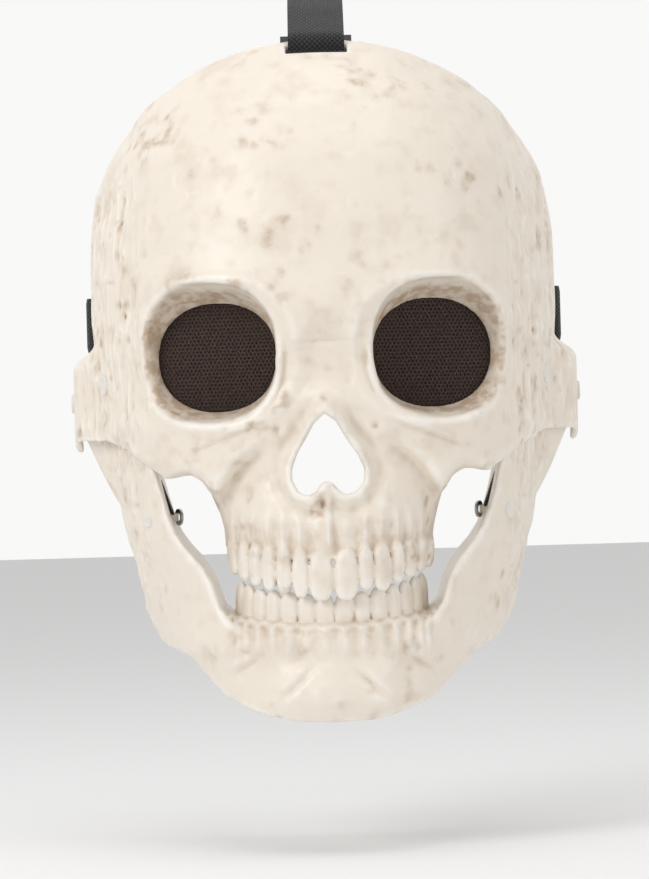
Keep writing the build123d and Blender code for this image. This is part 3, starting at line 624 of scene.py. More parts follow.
# %% Relief of the jaw
def groove(block, start, end, width, depth):
    """A crease between two points of the front view, the same on both sides."""
    u, v = np.abs(block.x) - start[0], block.z - start[1]
    run = (end[0] - start[0], end[1] - start[1])
    t = np.clip((u * run[0] + v * run[1]) / (run[0] ** 2 + run[1] ** 2), 0, 1)
    away = np.sqrt((u - t * run[0]) ** 2 + (v - t * run[1]) ** 2)
    return -depth * np.exp(-((away / width) ** 2)) * np.sin(math.pi * np.clip(t, 0.05, 0.95))


def jaw_relief(block):
    x, z = block.x, block.z
    wide = np.abs(x)
    relief = 2.2 * mound(x, z + 105, 13, 8) + 1.6 * mound(wide - 19, z + 106, 8, 6)
    relief = relief - 1.8 * mound(wide - 9, z + 91.5, 9, 4) - 1.2 * mound(wide - 26, z + 97, 6, 7)
    relief = relief + groove(block, (5, -93), (21, -108), 1.2, 1.3)
    relief = relief + groove(block, (21, -88), (38, -99), 1.6, 1.2)
    relief = relief + 1.6 * mound(wide - 43, z + 86, 9, 6) - 1.5 * mound(wide - 54, z + 74, 6, 12)
    relief = relief + 1.2 * mound(wide - 66, z + 45, 4, 30)
    relief = relief - 1.3 * mound(wide - 30, z + 89, 1.4, 1.4)
    relief = relief + 1.0 * ease(z, -95, -86) * ease(-z, 78, 81) * tooth_hills(x, LOWER_TEETH, 0.30)
    edge = z - lower_gum(x)
    return relief + 0.7 * np.exp(-(((edge + 0.9) / 0.8) ** 2)) * (wide < 36)


calm = 1 - ease(jaw.y, -34, -18)
relief = jaw_relief(jaw)
outside = base - (relief * calm).astype(np.float32)
field = np.maximum(outside, -(base - (hollows(relief, jaw) * calm).astype(np.float32) + WALL))
field = cut(field, -np.maximum(np.maximum(inner + WALL, jaw.z + 60), -(jaw.z + 140)), 1.0)
border = np.interp(np.abs(jaw.x).ravel(), BORDER_X, BORDER_Z)[:, None, None].astype(np.float32)
field = cut(field, border - jaw.z, 2.0)
field = cut(field, outline(JAW_SIDE, jaw.y, jaw.z), 1.4)
tooth_row(field, jaw, LOWER_TEETH, lower_gum, 0.5, 1, 2.1)
for name in ("left", "right"):
    field = np.maximum(field, -seat(jaw, f"jaw_anchor_rivet_{name}", f"jaw_anchor_washer_{name}"))
jaw_shell = skin(field, jaw, "jaw_shell")
crumbs = keep_largest(jaw_shell)
print("jaw shell", len(jaw_shell.data.polygons), "faces,", crumbs, "crumbs removed")
del field, outside, base, inner, outer, mouth_edge

# %% [markdown]
# ## Surface of the old bone
# The skins are smoothed a little, then roughened from the outside: soft lumps all over, long upright
# ridges like bark on the temples and the branches of the jaw, and a few pits. Two attributes are kept on
# every point for the finish: how hollow the surface is there, which the finish turns into painted shade
# in the hollows and painted light on the high spots, and how much stain lies in it, with painted shade
# added to the stain on the walls of the skull's eye sockets and nose.


# %% Roughness and stain
dice = np.random.default_rng(31)
LATTICE = dice.uniform(-1, 1, (32, 32, 32))


def grain(points, size, shift=0.0):
    """Smooth noise from -1 to 1 at each point, with lumps of about size millimetres."""
    p = points / np.asarray(size, float) + shift
    cell = np.floor(p).astype(int)
    f = p - cell
    f = f * f * (3 - 2 * f)
    total = np.zeros(len(points))
    for i in (0, 1):
        for j in (0, 1):
            for k in (0, 1):
                weight = (f[:, 0] if i else 1 - f[:, 0]) * (f[:, 1] if j else 1 - f[:, 1])
                weight = weight * (f[:, 2] if k else 1 - f[:, 2])
                corner = LATTICE[(cell[:, 0] + i) % 32, (cell[:, 1] + j) % 32, (cell[:, 2] + k) % 32]
                total += weight * corner
    return total


def read(mesh):
    """Vertex places in millimetres, normals and edges of a mesh."""
    count = len(mesh.vertices)
    points = np.zeros(count * 3)
    normals = np.zeros(count * 3)
    edges = np.zeros(len(mesh.edges) * 2, np.int32)
    mesh.vertices.foreach_get("co", points)
    mesh.vertex_normals.foreach_get("vector", normals)
    mesh.edges.foreach_get("vertices", edges)
    return points.reshape(-1, 3) / MM, normals.reshape(-1, 3), edges.reshape(-1, 2)


def average(values, edges, times, share=0.5):
    """Even out a quantity over neighbouring points."""
    count = len(values)
    both = np.concatenate([edges, edges[:, ::-1]])
    number = np.maximum(np.bincount(both[:, 0], minlength=count), 1)
    values = values.reshape(count, -1)
    for _ in range(times):
        columns = [np.bincount(both[:, 0], column[both[:, 1]], count) for column in values.T]
        near = np.stack(columns, 1)
        values = values + share * (near / number[:, None] - values)
    return values


def write(mesh, points):
    mesh.vertices.foreach_set("co", (points * MM).astype(np.float32).ravel())
    mesh.update()


def keep_attribute(mesh, name, values):
    layer = mesh.attributes.new(name, "FLOAT", "POINT")
    layer.data.foreach_set("value", values.astype(np.float32).ravel())


ANCHOR_RIVETS = [f"{place}_anchor_rivet_{way}" for place in ("upper", "jaw") for way in ("left", "right")]


def age(thing, triangles, stain_and_shade_of):
    """Smooth, roughen and stain a shell, then bring it down to its number of triangles. The stain it keeps
    carries painted shade for the skull's eye sockets and nose.
    """
    mesh = thing.data
    points, normals, edges = read(mesh)
    points = average(points, edges, 2, 0.55)
    write(mesh, points)
    points, normals, edges = read(mesh)
    away = points * (1, 1, 0)
    away[:, 1] = np.minimum(away[:, 1] + 10, 0)
    away /= np.linalg.norm(away, axis=1, keepdims=True) + 1e-6
    faces_out = ease((normals * away).sum(1), 0.05, 0.4)
    flat = ease(-points[:, 1], 12, 24)
    side = np.abs(points[:, 0])
    x, z = points[:, 0], points[:, 2]
    bark = ease(side, 60, 70) * (1 - ease(z, 72, 92)) * flat
    ridge = (1 - np.abs(grain(points, (4.4, 4.4, 17)))) ** 2 - 0.55 + 0.5 * grain(points, (1.9, 1.9, 6), 7.3)
    lumps = 0.42 * grain(points, 8.5, 3.1) + 0.20 * grain(points, 3.6, 5.7)
    calm = 0.35 + 0.65 * (1 - mound(x, z - 62, 52, 40))
    pits = ease(grain(points, 4.2, 11.9), 0.52, 0.85) * (0.25 + 0.75 * bark)
    rise = lumps * calm + 1.15 * bark * ridge - 0.8 * pits
    tooth = ease(-side, -38.5, -36.5) * ease(-points[:, 1], 60, 64)
    tooth = tooth * ease(z, -79, -76.5) * ease(-z, 57, 60)
    rise = rise * (1 - 0.85 * tooth)
    for rivet in ANCHOR_RIVETS:
        middle = (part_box(rivet)[0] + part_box(rivet)[1]) / 2 / MM
        rise = rise * ease(np.linalg.norm(points - middle, axis=1), 4.5, 8.0)
    points = points + normals * (rise * faces_out * (0.15 + 0.85 * flat))[:, None]
    write(mesh, points)
    points, normals, edges = read(mesh)
    soft = average(points, edges, 14)
    hollow = ((soft - points) * normals).sum(1)
    hollow = average(hollow, edges, 2).ravel()
    stain = stain_and_shade_of(points, faces_out)
    # The hollow attribute drives the bone finish's painted shade in hollows and painted light on high spots.
    keep_attribute(mesh, "hollow", np.clip(0.5 + hollow, 0, 1))
    keep_attribute(mesh, "stain", average(np.clip(stain, 0, 1), edges, 2))
    before = thin_out(thing, triangles)
    choose(thing)
    bpy.ops.object.shade_smooth()
    print(thing.name, before, "to", sum(len(p.vertices) - 2 for p in thing.data.polygons), "triangles")


def skull_stain_and_shade(points, faces_out):
    x, y, z = points.T
    side = np.abs(x)
    dx, dy = side - EYE_X, y - EYE_Y
    ahead = dx * math.sin(EYE_TURN) - dy * math.cos(EYE_TURN)
    u = dx * math.cos(EYE_TURN) + dy * math.sin(EYE_TURN)
    v = z - EYE_Z - 0.09 * np.clip(ahead, -1, 16)
    wide_share = np.abs(u / (21.7 + 0.36 * ahead)) ** 2.2
    tall_share = np.abs(v / (18.5 + 0.37 * ahead)) ** 2.2
    ring = (wide_share + tall_share) ** (1 / 2.2)
    # Stain on the walls of the eye sockets, made strong so that it also paints the shade that falls in them.
    funnel_stain_and_shade = ease(-np.abs(ring - 1), -0.10, -0.05) * ease(-ahead, -15, -4) * ease(ahead, -4, -1)
    # Stain on the inward-facing walls round the nose hole: partly stain, partly painted shade in that recess.
    nose_stain_and_shade = np.exp(-((x / 13) ** 2) - ((z + 22) / 15) ** 2) * ease(-faces_out, -0.5, 0)
    speck = ease(grain(points, 4.4, 2.2) + 0.55 * grain(points, 2.0, 8.8), 0.20, 0.75)
    where = 0.25 + 0.75 * ease(grain(points, 19, 6.1) + 0.4 * grain(points, 8, 3.3), -0.1, 0.5)
    roots = ease(-z, 40, 52) * ease(z, -62, -54) * 0.35
    return 2.0 * funnel_stain_and_shade + 0.8 * nose_stain_and_shade + 0.9 * speck * where + roots


def jaw_stain(points, _):
    x, _, z = points.T
    speck = ease(grain(points, 4.6, 4.2) + 0.55 * grain(points, 2.2, 9.8), 0.30, 0.85)
    where = 0.15 + 0.85 * ease(grain(points, 19, 1.7), -0.1, 0.5)
    roots = ease(-z, 77, 81) * ease(z, -90, -82) * ease(-np.abs(x), -40, -34) * 0.3
    return 0.7 * speck * where + roots


age(skull_shell, 190000, skull_stain_and_shade)
age(jaw_shell, 130000, jaw_stain)
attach(skull_shell, "skull")
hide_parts("upper_skull")
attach(jaw_shell, "jaw")
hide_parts("lower_jaw")

# %% [markdown]
# ## Webbing straps
# Webbing is a flat woven band, so each strap is a flat grid strip with thickness, laid along a route.
# The route is worked out from the bar that the strap turns round and the head it goes over, the same
# values that the CAD straps use. The end at each bar is turned back on itself and sewn.

# %% Laying a flat strip along a route
WEB_WIDE = 20.0
WEB_THICK = 1.2
BAR_LOOP = 3.3
HEAD_CENTRE_Z = 43.5
HEAD_RADIUS = 103.0


def arc(centre, radius, start, end, count=24):
    """Points of an arc in a plane, between two angles in degrees."""
    turns = np.radians(np.linspace(start, end, count))
    return [(centre[0] + radius * math.cos(t), centre[1] + radius * math.sin(t)) for t in turns]


def even_out(points, spacing=1.6, soften=2):
    """The same route with evenly spaced points and its corners eased."""
    points = np.array(points, float)
    for turn in range(soften + 1):
        gone = np.concatenate([[0], np.cumsum(np.linalg.norm(np.diff(points, axis=0), axis=1))])
        at = np.linspace(0, gone[-1], max(int(gone[-1] / spacing), 4) + 1)
        points = np.stack([np.interp(at, gone, points[:, c]) for c in range(points.shape[1])], 1)
        if turn < soften:
            points[1:-1] = (points[:-2] + 2 * points[1:-1] + points[2:]) / 4
    return points


def strip_on(name, route, across, width, thickness, ribs=10):
    """A flat band of the route's length, laid along it. across is the direction of its width."""
    route = np.array(route, float)
    across = np.array(across, float)
    gone = np.concatenate([[0], np.cumsum(np.linalg.norm(np.diff(route, axis=0), axis=1))])
    bpy.ops.mesh.primitive_grid_add(x_subdivisions=len(route) - 1, y_subdivisions=ribs, size=1)
    band = bpy.context.active_object
    band.name = name
    band.data.name = name
    thick = band.modifiers.new("thickness", "SOLIDIFY")
    thick.thickness = 1.0
    thick.offset = 0.0
    bpy.ops.object.modifier_apply(modifier=thick.name)
    count = len(band.data.vertices)
    flat = np.zeros(count * 3)
    band.data.vertices.foreach_get("co", flat)
    flat = flat.reshape(-1, 3)
    run = (flat[:, 0] + 0.5) * gone[-1]
    centre = np.stack([np.interp(run, gone, route[:, c]) for c in range(3)], 1)
    way = np.gradient(route, gone, axis=0)
    way = np.stack([np.interp(run, gone, way[:, c]) for c in range(3)], 1)
    out = np.cross(way, across)
    out /= np.linalg.norm(out, axis=1, keepdims=True)
    edge = np.abs(flat[:, 1]) > 0.499
    height = flat[:, 2] * thickness * np.where(edge, 0.45, 1)
    place = centre + across * (flat[:, 1] * width)[:, None] + out * height[:, None]
    band.data.vertices.foreach_set("co", (place * MM).ravel())
    keep_attribute(band.data, "run", run)
    keep_attribute(band.data, "across", flat[:, 1] * width)
    choose(band)
    bpy.ops.object.mode_set(mode="EDIT")
    bpy.ops.mesh.select_all(action="SELECT")
    bpy.ops.mesh.normals_make_consistent(inside=False)
    bpy.ops.object.mode_set(mode="OBJECT")
    bpy.ops.object.shade_smooth_by_angle(angle=math.radians(50))
    print(name, "length", round(gone[-1], 1), "mm")
    return band


def stitches(name, centres, ways, length=2.2, thread=0.5):
    """Short thread stitches, one low bead copied along its row, joined as one piece."""
    bpy.ops.mesh.primitive_uv_sphere_add(segments=8, ring_count=6, radius=1)
    bead = bpy.context.active_object
    bead.name = name
    shape = np.zeros(len(bead.data.vertices) * 3)
    bead.data.vertices.foreach_get("co", shape)
    shape = shape.reshape(-1, 3)[:, [2, 0, 1]] * (length / 2, thread / 2, thread / 2.4)
    copies = []
    for centre, way in zip(centres, ways):
        way = Vector(way).normalized()
        turn = np.array(way.to_track_quat("X", "Z").to_matrix())
        copies.append(shape @ turn.T + np.array(centre))
    bead.data.vertices.foreach_set("co", (copies[0] * MM).ravel())
    spares = []
    for points in copies[1:]:
        spare = bead.copy()
        spare.data = bead.data.copy()
        spare.data.vertices.foreach_set("co", (points * MM).ravel())
        bpy.context.scene.collection.objects.link(spare)
        spares.append(spare)
    bpy.ops.object.select_all(action="DESELECT")
    for spare in spares:
        spare.select_set(True)
    bead.select_set(True)
    bpy.context.view_layer.objects.active = bead
    bpy.ops.object.join()
    bpy.ops.object.shade_smooth()
    return bead


def box_stitch(name, route, first, last, across, lift, width=15.0):
    """A sewn box with a cross in it, on one face of a strap, between two distances along its route."""
    route = np.array(route, float)
    across = np.array(across, float)
    gone = np.concatenate([[0], np.cumsum(np.linalg.norm(np.diff(route, axis=0), axis=1))])
    tangent = np.gradient(route, gone, axis=0)
    lines = [((first, -1), (last, -1)), ((first, 1), (last, 1)), ((first, -1), (first, 1)),
             ((last, -1), (last, 1)), ((first, -1), (last, 1)), ((first, 1), (last, -1))]
    centres, ways = [], []
    for (s0, w0), (s1, w1) in lines:
        length = math.hypot(s1 - s0, (w1 - w0) * width / 2)
        for share in (np.arange(int(length / 2.9)) + 0.5) / int(length / 2.9):
            s = s0 + (s1 - s0) * share
            w = (w0 + (w1 - w0) * share) * width / 2
            centre = np.array([np.interp(s, gone, route[:, c]) for c in range(3)])
            way = np.array([np.interp(s, gone, tangent[:, c]) for c in range(3)])
            out = np.cross(way, across)
            out /= np.linalg.norm(out)
            centres.append(centre + across * w + out * lift)
            ways.append(way * (s1 - s0) + across * (w1 - w0) * width / 2)
    return stitches(name, centres, ways)


print("strap tools ready")

# %% The crown strap
# The bar is the strip of shell above the slot, at this angle from level about the head's centre.
bar_y, bar_z = -62.68, 125.22
bar_angle = math.atan2(bar_z - HEAD_CENTRE_Z, -bar_y)
BAND_BACK = 99.5
BAND_HEIGHT = 29.0


def over_head(radius, degrees_up):
    """Y and Z over the head, at an angle up from level at the front."""
    turn = math.radians(degrees_up)
    return (-radius * math.cos(turn), HEAD_CENTRE_Z + radius * math.sin(turn))


front_angle = math.degrees(bar_angle)
sewn_angles = np.linspace(front_angle + 24, front_angle + 13, 9)
sewn_on = [over_head(HEAD_RADIUS + WEB_THICK + 0.1, a) for a in sewn_angles]
turn_start = 90 + (90 - front_angle)
round_bar = arc((bar_y, bar_z), BAR_LOOP, turn_start, turn_start + 180, 14)
main_run = [over_head(HEAD_RADIUS, a) for a in np.linspace(front_angle + 13, 178, 90)]
down = [(HEAD_RADIUS, z) for z in np.linspace(40, 22.5, 9)]
under = arc((HEAD_RADIUS - 2.85, 20.4), 2.85, 0, -180, 12)
back_up = [(HEAD_RADIUS - 5.7, 24), (HEAD_RADIUS - 5.7, 30), (HEAD_RADIUS - 5.7, 36), (HEAD_RADIUS - 4.4, 41),
           (HEAD_RADIUS - 2.0, 46), (HEAD_RADIUS - 1.6, 50), (HEAD_RADIUS - 1.9, 57)]
crown_route = even_out(sewn_on + round_bar + main_run + down + under + back_up)
crown_route = np.concatenate([np.zeros((len(crown_route), 1)), crown_route], 1)
ACROSS_X = (1, 0, 0)
ACROSS_Z = (0, 0, 1)
crown_webbing = strip_on("crown_webbing", crown_route, ACROSS_X, WEB_WIDE, WEB_THICK)
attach(crown_webbing, "skull")
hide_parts("crown_strap")
crown_thread = box_stitch("crown_stitching", crown_route, 3, 15, ACROSS_X, -0.75)
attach(crown_thread, "skull")

# %% [markdown]
# The rear band is an ellipse round the back of the head. The wearer's right strap lies inside, and the left
# strap swings open, so it runs outside the closure and comes in to its own bar.

# %% The side straps and their closure
SIDE_BAR_X, SIDE_BAR_Y = 84.4, 7.2
BAND_HALF = SIDE_BAR_X + BAR_LOOP
BAND_DEPTH = BAND_BACK - SIDE_BAR_Y
CLOSURE = (22.5, 45.5)
EASE = 3.7


def round_head(angle, extra=0.0):
    """X and Y of the rear band, at an angle from straight back towards the wearer's left."""
    turn = math.radians(angle)
    reach = 1 / math.sqrt((math.sin(turn) / BAND_HALF) ** 2 + (math.cos(turn) / BAND_DEPTH) ** 2) + extra
    return (reach * math.sin(turn), SIDE_BAR_Y + reach * math.cos(turn))


def eased(angle):
    share = min(1.0, max(0.0, (90 - angle) / (90 - CLOSURE[1] - 4)))
    return EASE * share * share * (3 - 2 * share)


def side_route(way, last, extra):
    """From the sewn end inside the head, round the bar, and back along the band to an angle."""
    tail = [(way * x, y) for x, y in ((83.9, 36), (84.9, 28), (84.9, 21), (83.2, 14), (81.3, 8.5))]
    bar = arc((way * SIDE_BAR_X, SIDE_BAR_Y), BAR_LOOP, 180 if way > 0 else 0, 360 if way > 0 else -180, 14)
    band = [round_head(a, extra(abs(a)) if way > 0 else 0) for a in np.linspace(way * 88, last, 80)]
    flat = even_out(tail + bar + band)
    return np.concatenate([flat, np.full((len(flat), 1), BAND_HEIGHT)], 1)


right_route = side_route(-1, CLOSURE[1], eased)
left_route = side_route(1, CLOSURE[0] - 4, eased)
right_webbing = strip_on("side_webbing_right", right_route, ACROSS_Z, WEB_WIDE, WEB_THICK)
left_webbing = strip_on("side_webbing_left", left_route, ACROSS_Z, WEB_WIDE, WEB_THICK)
right_thread = box_stitch("side_stitching_right", right_route, 3, 15, ACROSS_Z, 0.75)
left_thread = box_stitch("side_stitching_left", left_route, 3, 15, ACROSS_Z, -0.75)
pairs = ((right_webbing, "skull", "side_strap_right"), (left_webbing, "left_strap", "side_strap_left"))
for band, body, node in pairs:
    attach(band, body)
    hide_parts(node)
for thread, body in ((right_thread, "skull"), (left_thread, "left_strap")):
    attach(thread, body)


def tape(name, extra, node, body, seed):
    """A piece of hook and loop tape on the band, its face roughened with short fibres."""
    angles = np.linspace(CLOSURE[0], CLOSURE[1], 60)
    flat = [round_head(a, extra + (eased(a) if body == "left_strap" else 0)) for a in angles]
    route = np.concatenate([np.array(flat), np.full((60, 1), BAND_HEIGHT)], 1)
    piece = strip_on(name, even_out(route, 0.8, 0), ACROSS_Z, WEB_WIDE - 0.8, 1.0, 28)
    points, normals, _ = read(piece.data)
    nap = 0.14 * np.random.default_rng(seed).uniform(-1, 1, len(points))
    write(piece.data, points + normals * nap[:, None])
    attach(piece, body)
    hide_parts(node)
    return piece


PATCH_LIFT = (WEB_THICK + 1.0) / 2 + 0.05
loop_tape = tape("loop_tape", PATCH_LIFT, "loop_patch", "skull", 5)
hook_tape = tape("hook_tape", -PATCH_LIFT, "hook_patch", "left_strap", 6)

# %% [markdown]
# ## Eye meshes
# Each eye has a disc of knit behind it, dark and full of small holes. A triangle grid with all
# its corners bevelled leaves a six-sided face at every corner. With those faces deleted, what is left
# is the net. A second, finer layer lies behind the first, a little to the side, so that almost nothing
# shows through: it is painted shade, a dark sheet that stands in for the shade behind the eye holes.


# %% Knit discs
def knit_layer(name, node, way, pitch, share, depth, shift):
    """One layer of knit: a net of six-sided holes, cut to its ellipse and set in its socket."""
    columns = int(2 * KNIT_HALF_WIDE / pitch) + 4
    rows = int(2 * KNIT_HALF_TALL / (pitch * 0.866)) + 4
    bpy.ops.mesh.primitive_grid_add(x_subdivisions=columns, y_subdivisions=rows, size=1)
    layer = bpy.context.active_object
    layer.name = name
    flat = np.zeros(len(layer.data.vertices) * 3)
    layer.data.vertices.foreach_get("co", flat)
    flat = flat.reshape(-1, 3)
    line = np.round((flat[:, 1] + 0.5) * rows)
    flat[:, 0] = flat[:, 0] * columns * pitch + (line % 2) * pitch / 2 + shift[0]
    flat[:, 1] = flat[:, 1] * rows * pitch * 0.866 + shift[1]
    layer.data.vertices.foreach_set("co", flat.ravel())
    layer.data.update()
    bpy.ops.object.mode_set(mode="EDIT")
    bpy.ops.mesh.select_all(action="SELECT")
    bpy.ops.mesh.quads_convert_to_tris(quad_method="SHORTEST_DIAGONAL")
    bpy.ops.mesh.select_all(action="DESELECT")
    bpy.ops.object.mode_set(mode="OBJECT")
    for face in layer.data.polygons:
        u, v = face.center.x / (KNIT_HALF_WIDE - 0.7), face.center.y / (KNIT_HALF_TALL - 0.7)
        face.select = u * u + v * v > 1
    bpy.ops.object.mode_set(mode="EDIT")
    bpy.ops.mesh.delete(type="FACE")
    bpy.ops.mesh.select_all(action="SELECT")
    bpy.ops.mesh.bevel(offset=pitch * share, affect="VERTICES")
    bpy.ops.mesh.select_all(action="DESELECT")
    bpy.ops.object.mode_set(mode="OBJECT")
    for face in layer.data.polygons:
        spread = max((layer.data.vertices[i].co - face.center).length for i in face.vertices)
        face.select = len(face.vertices) == 6 and spread < pitch * share * 1.04
    bpy.ops.object.mode_set(mode="EDIT")
    bpy.ops.mesh.delete(type="FACE")
    bpy.ops.object.mode_set(mode="OBJECT")
    thick = layer.modifiers.new("thread", "SOLIDIFY")
    thick.thickness = 0.28
    thick.offset = 0
    bpy.ops.object.modifier_apply(modifier=thick.name)
    low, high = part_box(node)
    right = Vector((math.cos(EYE_TURN), way * math.sin(EYE_TURN), 0))
    front = Vector((way * math.sin(EYE_TURN), -math.cos(EYE_TURN), 0))
    frame_of_eye = Matrix((right, Vector((0, 0, 1)), front)).transposed().to_4x4()
    frame_of_eye.translation = (low + high) / 2 / MM + front * depth
    layer.data.transform(Matrix.Scale(MM, 4) @ frame_of_eye)
    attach(layer, "skull")
    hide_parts(node)
    print(name, len(layer.data.polygons), "faces")
    return layer


KNIT_HALF_WIDE, KNIT_HALF_TALL = 25.1, 21.3
knits = []
for name, way in (("left", 1), ("right", -1)):
    node = f"eye_mesh_{name}"
    knits.append(knit_layer(f"eye_knit_{name}", node, way, 1.5, 0.31, 0.22, (0, 0)))
    # The finer backing layer is painted shade: a dark sheet that stands in for the shade behind the eye
    # holes.
    knits.append(knit_layer(f"eye_knit_backing_{name}", node, way, 1.05, 0.06, -0.25, (0.6, 0.4)))

# %% [markdown]
# ## Rivets
# The pressed rivets have flat painted heads with a rolled edge. Each is a disc with its rim bevelled
# and a shallow ring pressed into its face, on a plain shank. It stands where its CAD rivet is.


# %% Pressed rivet heads
def pressed_rivet(node, head_first, body):
    """Rivet with a rolled edge, laid along its CAD rivet; head_first points from washer to head."""
    low, high = (np.array(corner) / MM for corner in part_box(node))
    axis = np.array(head_first, float)
    axis /= np.linalg.norm(axis)
    middle = (low + high) / 2
    radius = min(3.5, (high - low)[2] / 2)
    span = (high - low)[0] - 2 * radius * abs(axis[1])
    length = span / max(abs(axis[0]), 0.2)
    head = middle + axis * (length / 2)
    bpy.ops.mesh.primitive_cylinder_add(vertices=48, radius=radius, depth=1.3, location=(0, 0, -0.65))
    rivet = bpy.context.active_object
    bpy.ops.object.transform_apply(location=True)
    bpy.ops.object.mode_set(mode="EDIT")
    bpy.ops.mesh.select_all(action="DESELECT")
    bpy.ops.object.mode_set(mode="OBJECT")
    for face in rivet.data.polygons:
        face.select = face.normal.z > 0.9
    bpy.ops.object.mode_set(mode="EDIT")
    bpy.ops.mesh.inset(thickness=0.5, depth=0.35)
    bpy.ops.mesh.inset(thickness=0.25, depth=0.0)
    bpy.ops.mesh.inset(thickness=0.25, depth=-0.12)
    bpy.ops.mesh.inset(thickness=1.2, depth=0.08)
    bpy.ops.mesh.select_all(action="DESELECT")
    bpy.ops.object.mode_set(mode="OBJECT")
    for vertex in rivet.data.vertices:
        if vertex.co.z > -0.05:
            vertex.co.z -= 0.3
    for face in rivet.data.polygons:
        face.select = face.normal.z < -0.9
    bpy.ops.object.mode_set(mode="EDIT")
    bpy.ops.mesh.inset(thickness=radius - 1.5, depth=0.0)
    bpy.ops.mesh.extrude_region_move(TRANSFORM_OT_translate={"value": (0, 0, -(length - 1.3))})
    bpy.ops.mesh.inset(thickness=0.4, depth=-0.5)
    bpy.ops.object.mode_set(mode="OBJECT")
    edge = rivet.modifiers.new("rolled", "BEVEL")
    edge.width = 0.12
    edge.segments = 2
    bpy.ops.object.modifier_apply(modifier=edge.name)
    bpy.ops.object.shade_smooth_by_angle(angle=math.radians(40))
    stand = Vector(axis).to_track_quat("Z", "Y").to_matrix().to_4x4()
    stand.translation = Vector(head)
    rivet.data.transform(Matrix.Scale(MM, 4) @ stand)
    rivet.name = node.replace("rivet", "pressed_rivet")
    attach(rivet, body)
    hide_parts(node)
    return rivet


def between(node, washer):
    head, inner = ((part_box(n)[0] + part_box(n)[1]) / 2 for n in (node, washer))
    return head - inner


rivets = []
for name in ("left", "right"):
    for place, body in (("upper_anchor", "skull"), ("jaw_anchor", "jaw")):
        way = between(f"{place}_rivet_{name}", f"{place}_washer_{name}")
        rivets.append(pressed_rivet(f"{place}_rivet_{name}", way, body))
print("rivets", len(rivets))

# %% [markdown]
# ## Return elastics
# A flat braided elastic inside each cheek pulls the jaw shut. It runs between the shanks of two rivets,
# one in the skull and one in the jaw, as a straight band that is left unattached to either body.

# %% Elastics
elastics = []
for name, way in (("left", 1), ("right", -1)):
    low, high = (np.array(corner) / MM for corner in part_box(f"return_elastic_{name}"))
    outer_x = high[0] if way > 0 else low[0]
    inner_x = low[0] if way > 0 else high[0]
    start = np.array((outer_x - way * 0.7, high[1] - 3.2, high[2] + 1.4))
    stop = np.array((inner_x + way * 0.7, low[1] + 3.2, low[2] - 1.4))
    route = [start + (stop - start) * t for t in np.linspace(0, 1, 40)]
    run = stop - start
    across = np.cross(run, np.cross((0, 1, 0), run))
    across /= np.linalg.norm(across)
    band = strip_on(f"braided_elastic_{name}", route, across, 6.0, 1.1, 6)
    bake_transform(band)
    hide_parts(f"return_elastic_{name}")
    elastics.append(band)

# %% [markdown]
# ## Foam pads
# The pads are cut from soft foam and glued inside. Each starts as a copy of its plain CAD block, remeshed
# evenly, drawn in a little, and swollen by a short cloth simulation, so that its sides belly out
# and its corners go round.


# %% Foam pads
def foam_pad(name, node, body, swell):
    """Soft pad grown inside the space of its CAD block."""
    source = bpy.data.objects[node]
    pad = bpy.data.objects.new(name, source.data.copy())
    bpy.context.scene.collection.objects.link(pad)
    choose(pad)
    bpy.ops.object.mode_set(mode="EDIT")
    bpy.ops.mesh.select_all(action="SELECT")
    bpy.ops.mesh.remove_doubles(threshold=0.00001)
    bpy.ops.object.mode_set(mode="OBJECT")
    pad.data.remesh_voxel_size = 1.6 * MM
    bpy.ops.object.voxel_remesh()
    points, normals, edges = read(pad.data)
    points = average(points, edges, 5, 0.6)
    write(pad.data, points)
    before = points.copy()
    cloth = pad.modifiers.new("swell", "CLOTH")
    cloth.settings.use_pressure = True
    cloth.settings.uniform_pressure_force = swell
    cloth.settings.effector_weights.gravity = 0
    cloth.settings.quality = 4
    for step in range(1, 13):
        bpy.context.scene.frame_set(step)
    shown = pad.evaluated_get(bpy.context.evaluated_depsgraph_get())
    after = np.zeros(len(pad.data.vertices) * 3)
    shown.data.vertices.foreach_get("co", after)
    pad.modifiers.remove(cloth)
    move = after.reshape(-1, 3) / MM - before
    size = np.linalg.norm(move, axis=1, keepdims=True)
    write(pad.data, before + move * np.minimum(1, 0.7 / np.maximum(size, 1e-6)))
    bpy.context.scene.frame_set(1)
    smooth = pad.modifiers.new("smooth", "SUBSURF")
    smooth.levels = 1
    smooth.render_levels = 1
    bpy.ops.object.modifier_apply(modifier=smooth.name)
    points, normals, edges = read(pad.data)
    cells = 0.16 * grain(points, 1.5, 4.4) + 0.25 * grain(points, 9, 1.2)
    write(pad.data, points + normals * cells[:, None])
    bpy.ops.object.shade_smooth()
    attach(pad, body)
    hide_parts(node)
    print(name, len(pad.data.polygons), "faces")
    return pad


foams = [foam_pad("forehead_foam", "forehead_pad", "skull", 2.0),
         foam_pad("cheek_foam_left", "cheek_pad_left", "skull", 2.0),
         foam_pad("cheek_foam_right", "cheek_pad_right", "skull", 2.0),
         foam_pad("chin_foam", "chin_pad", "jaw", 2.0)]

# %% [markdown]
# ## Finishes
# All patterns are worked out by nodes, from Object coordinates in metres or from attributes that the pieces
# carry. Three effects serve several finishes, so each is a node group: fine grain for moulded and
# foamed surfaces, a weave for bands, and rubbed spots for paint and metal.


# %% Node helpers and shared groups
def place(tree, kind, **settings):
    """Add a node, and set its properties by name and its inputs by (name, value) in inputs."""
    node = tree.nodes.new(kind)
    for key, value in settings.pop("inputs", {}).items():
        node.inputs[key].default_value = value
    for key, value in settings.items():
        setattr(node, key, value)
    return node


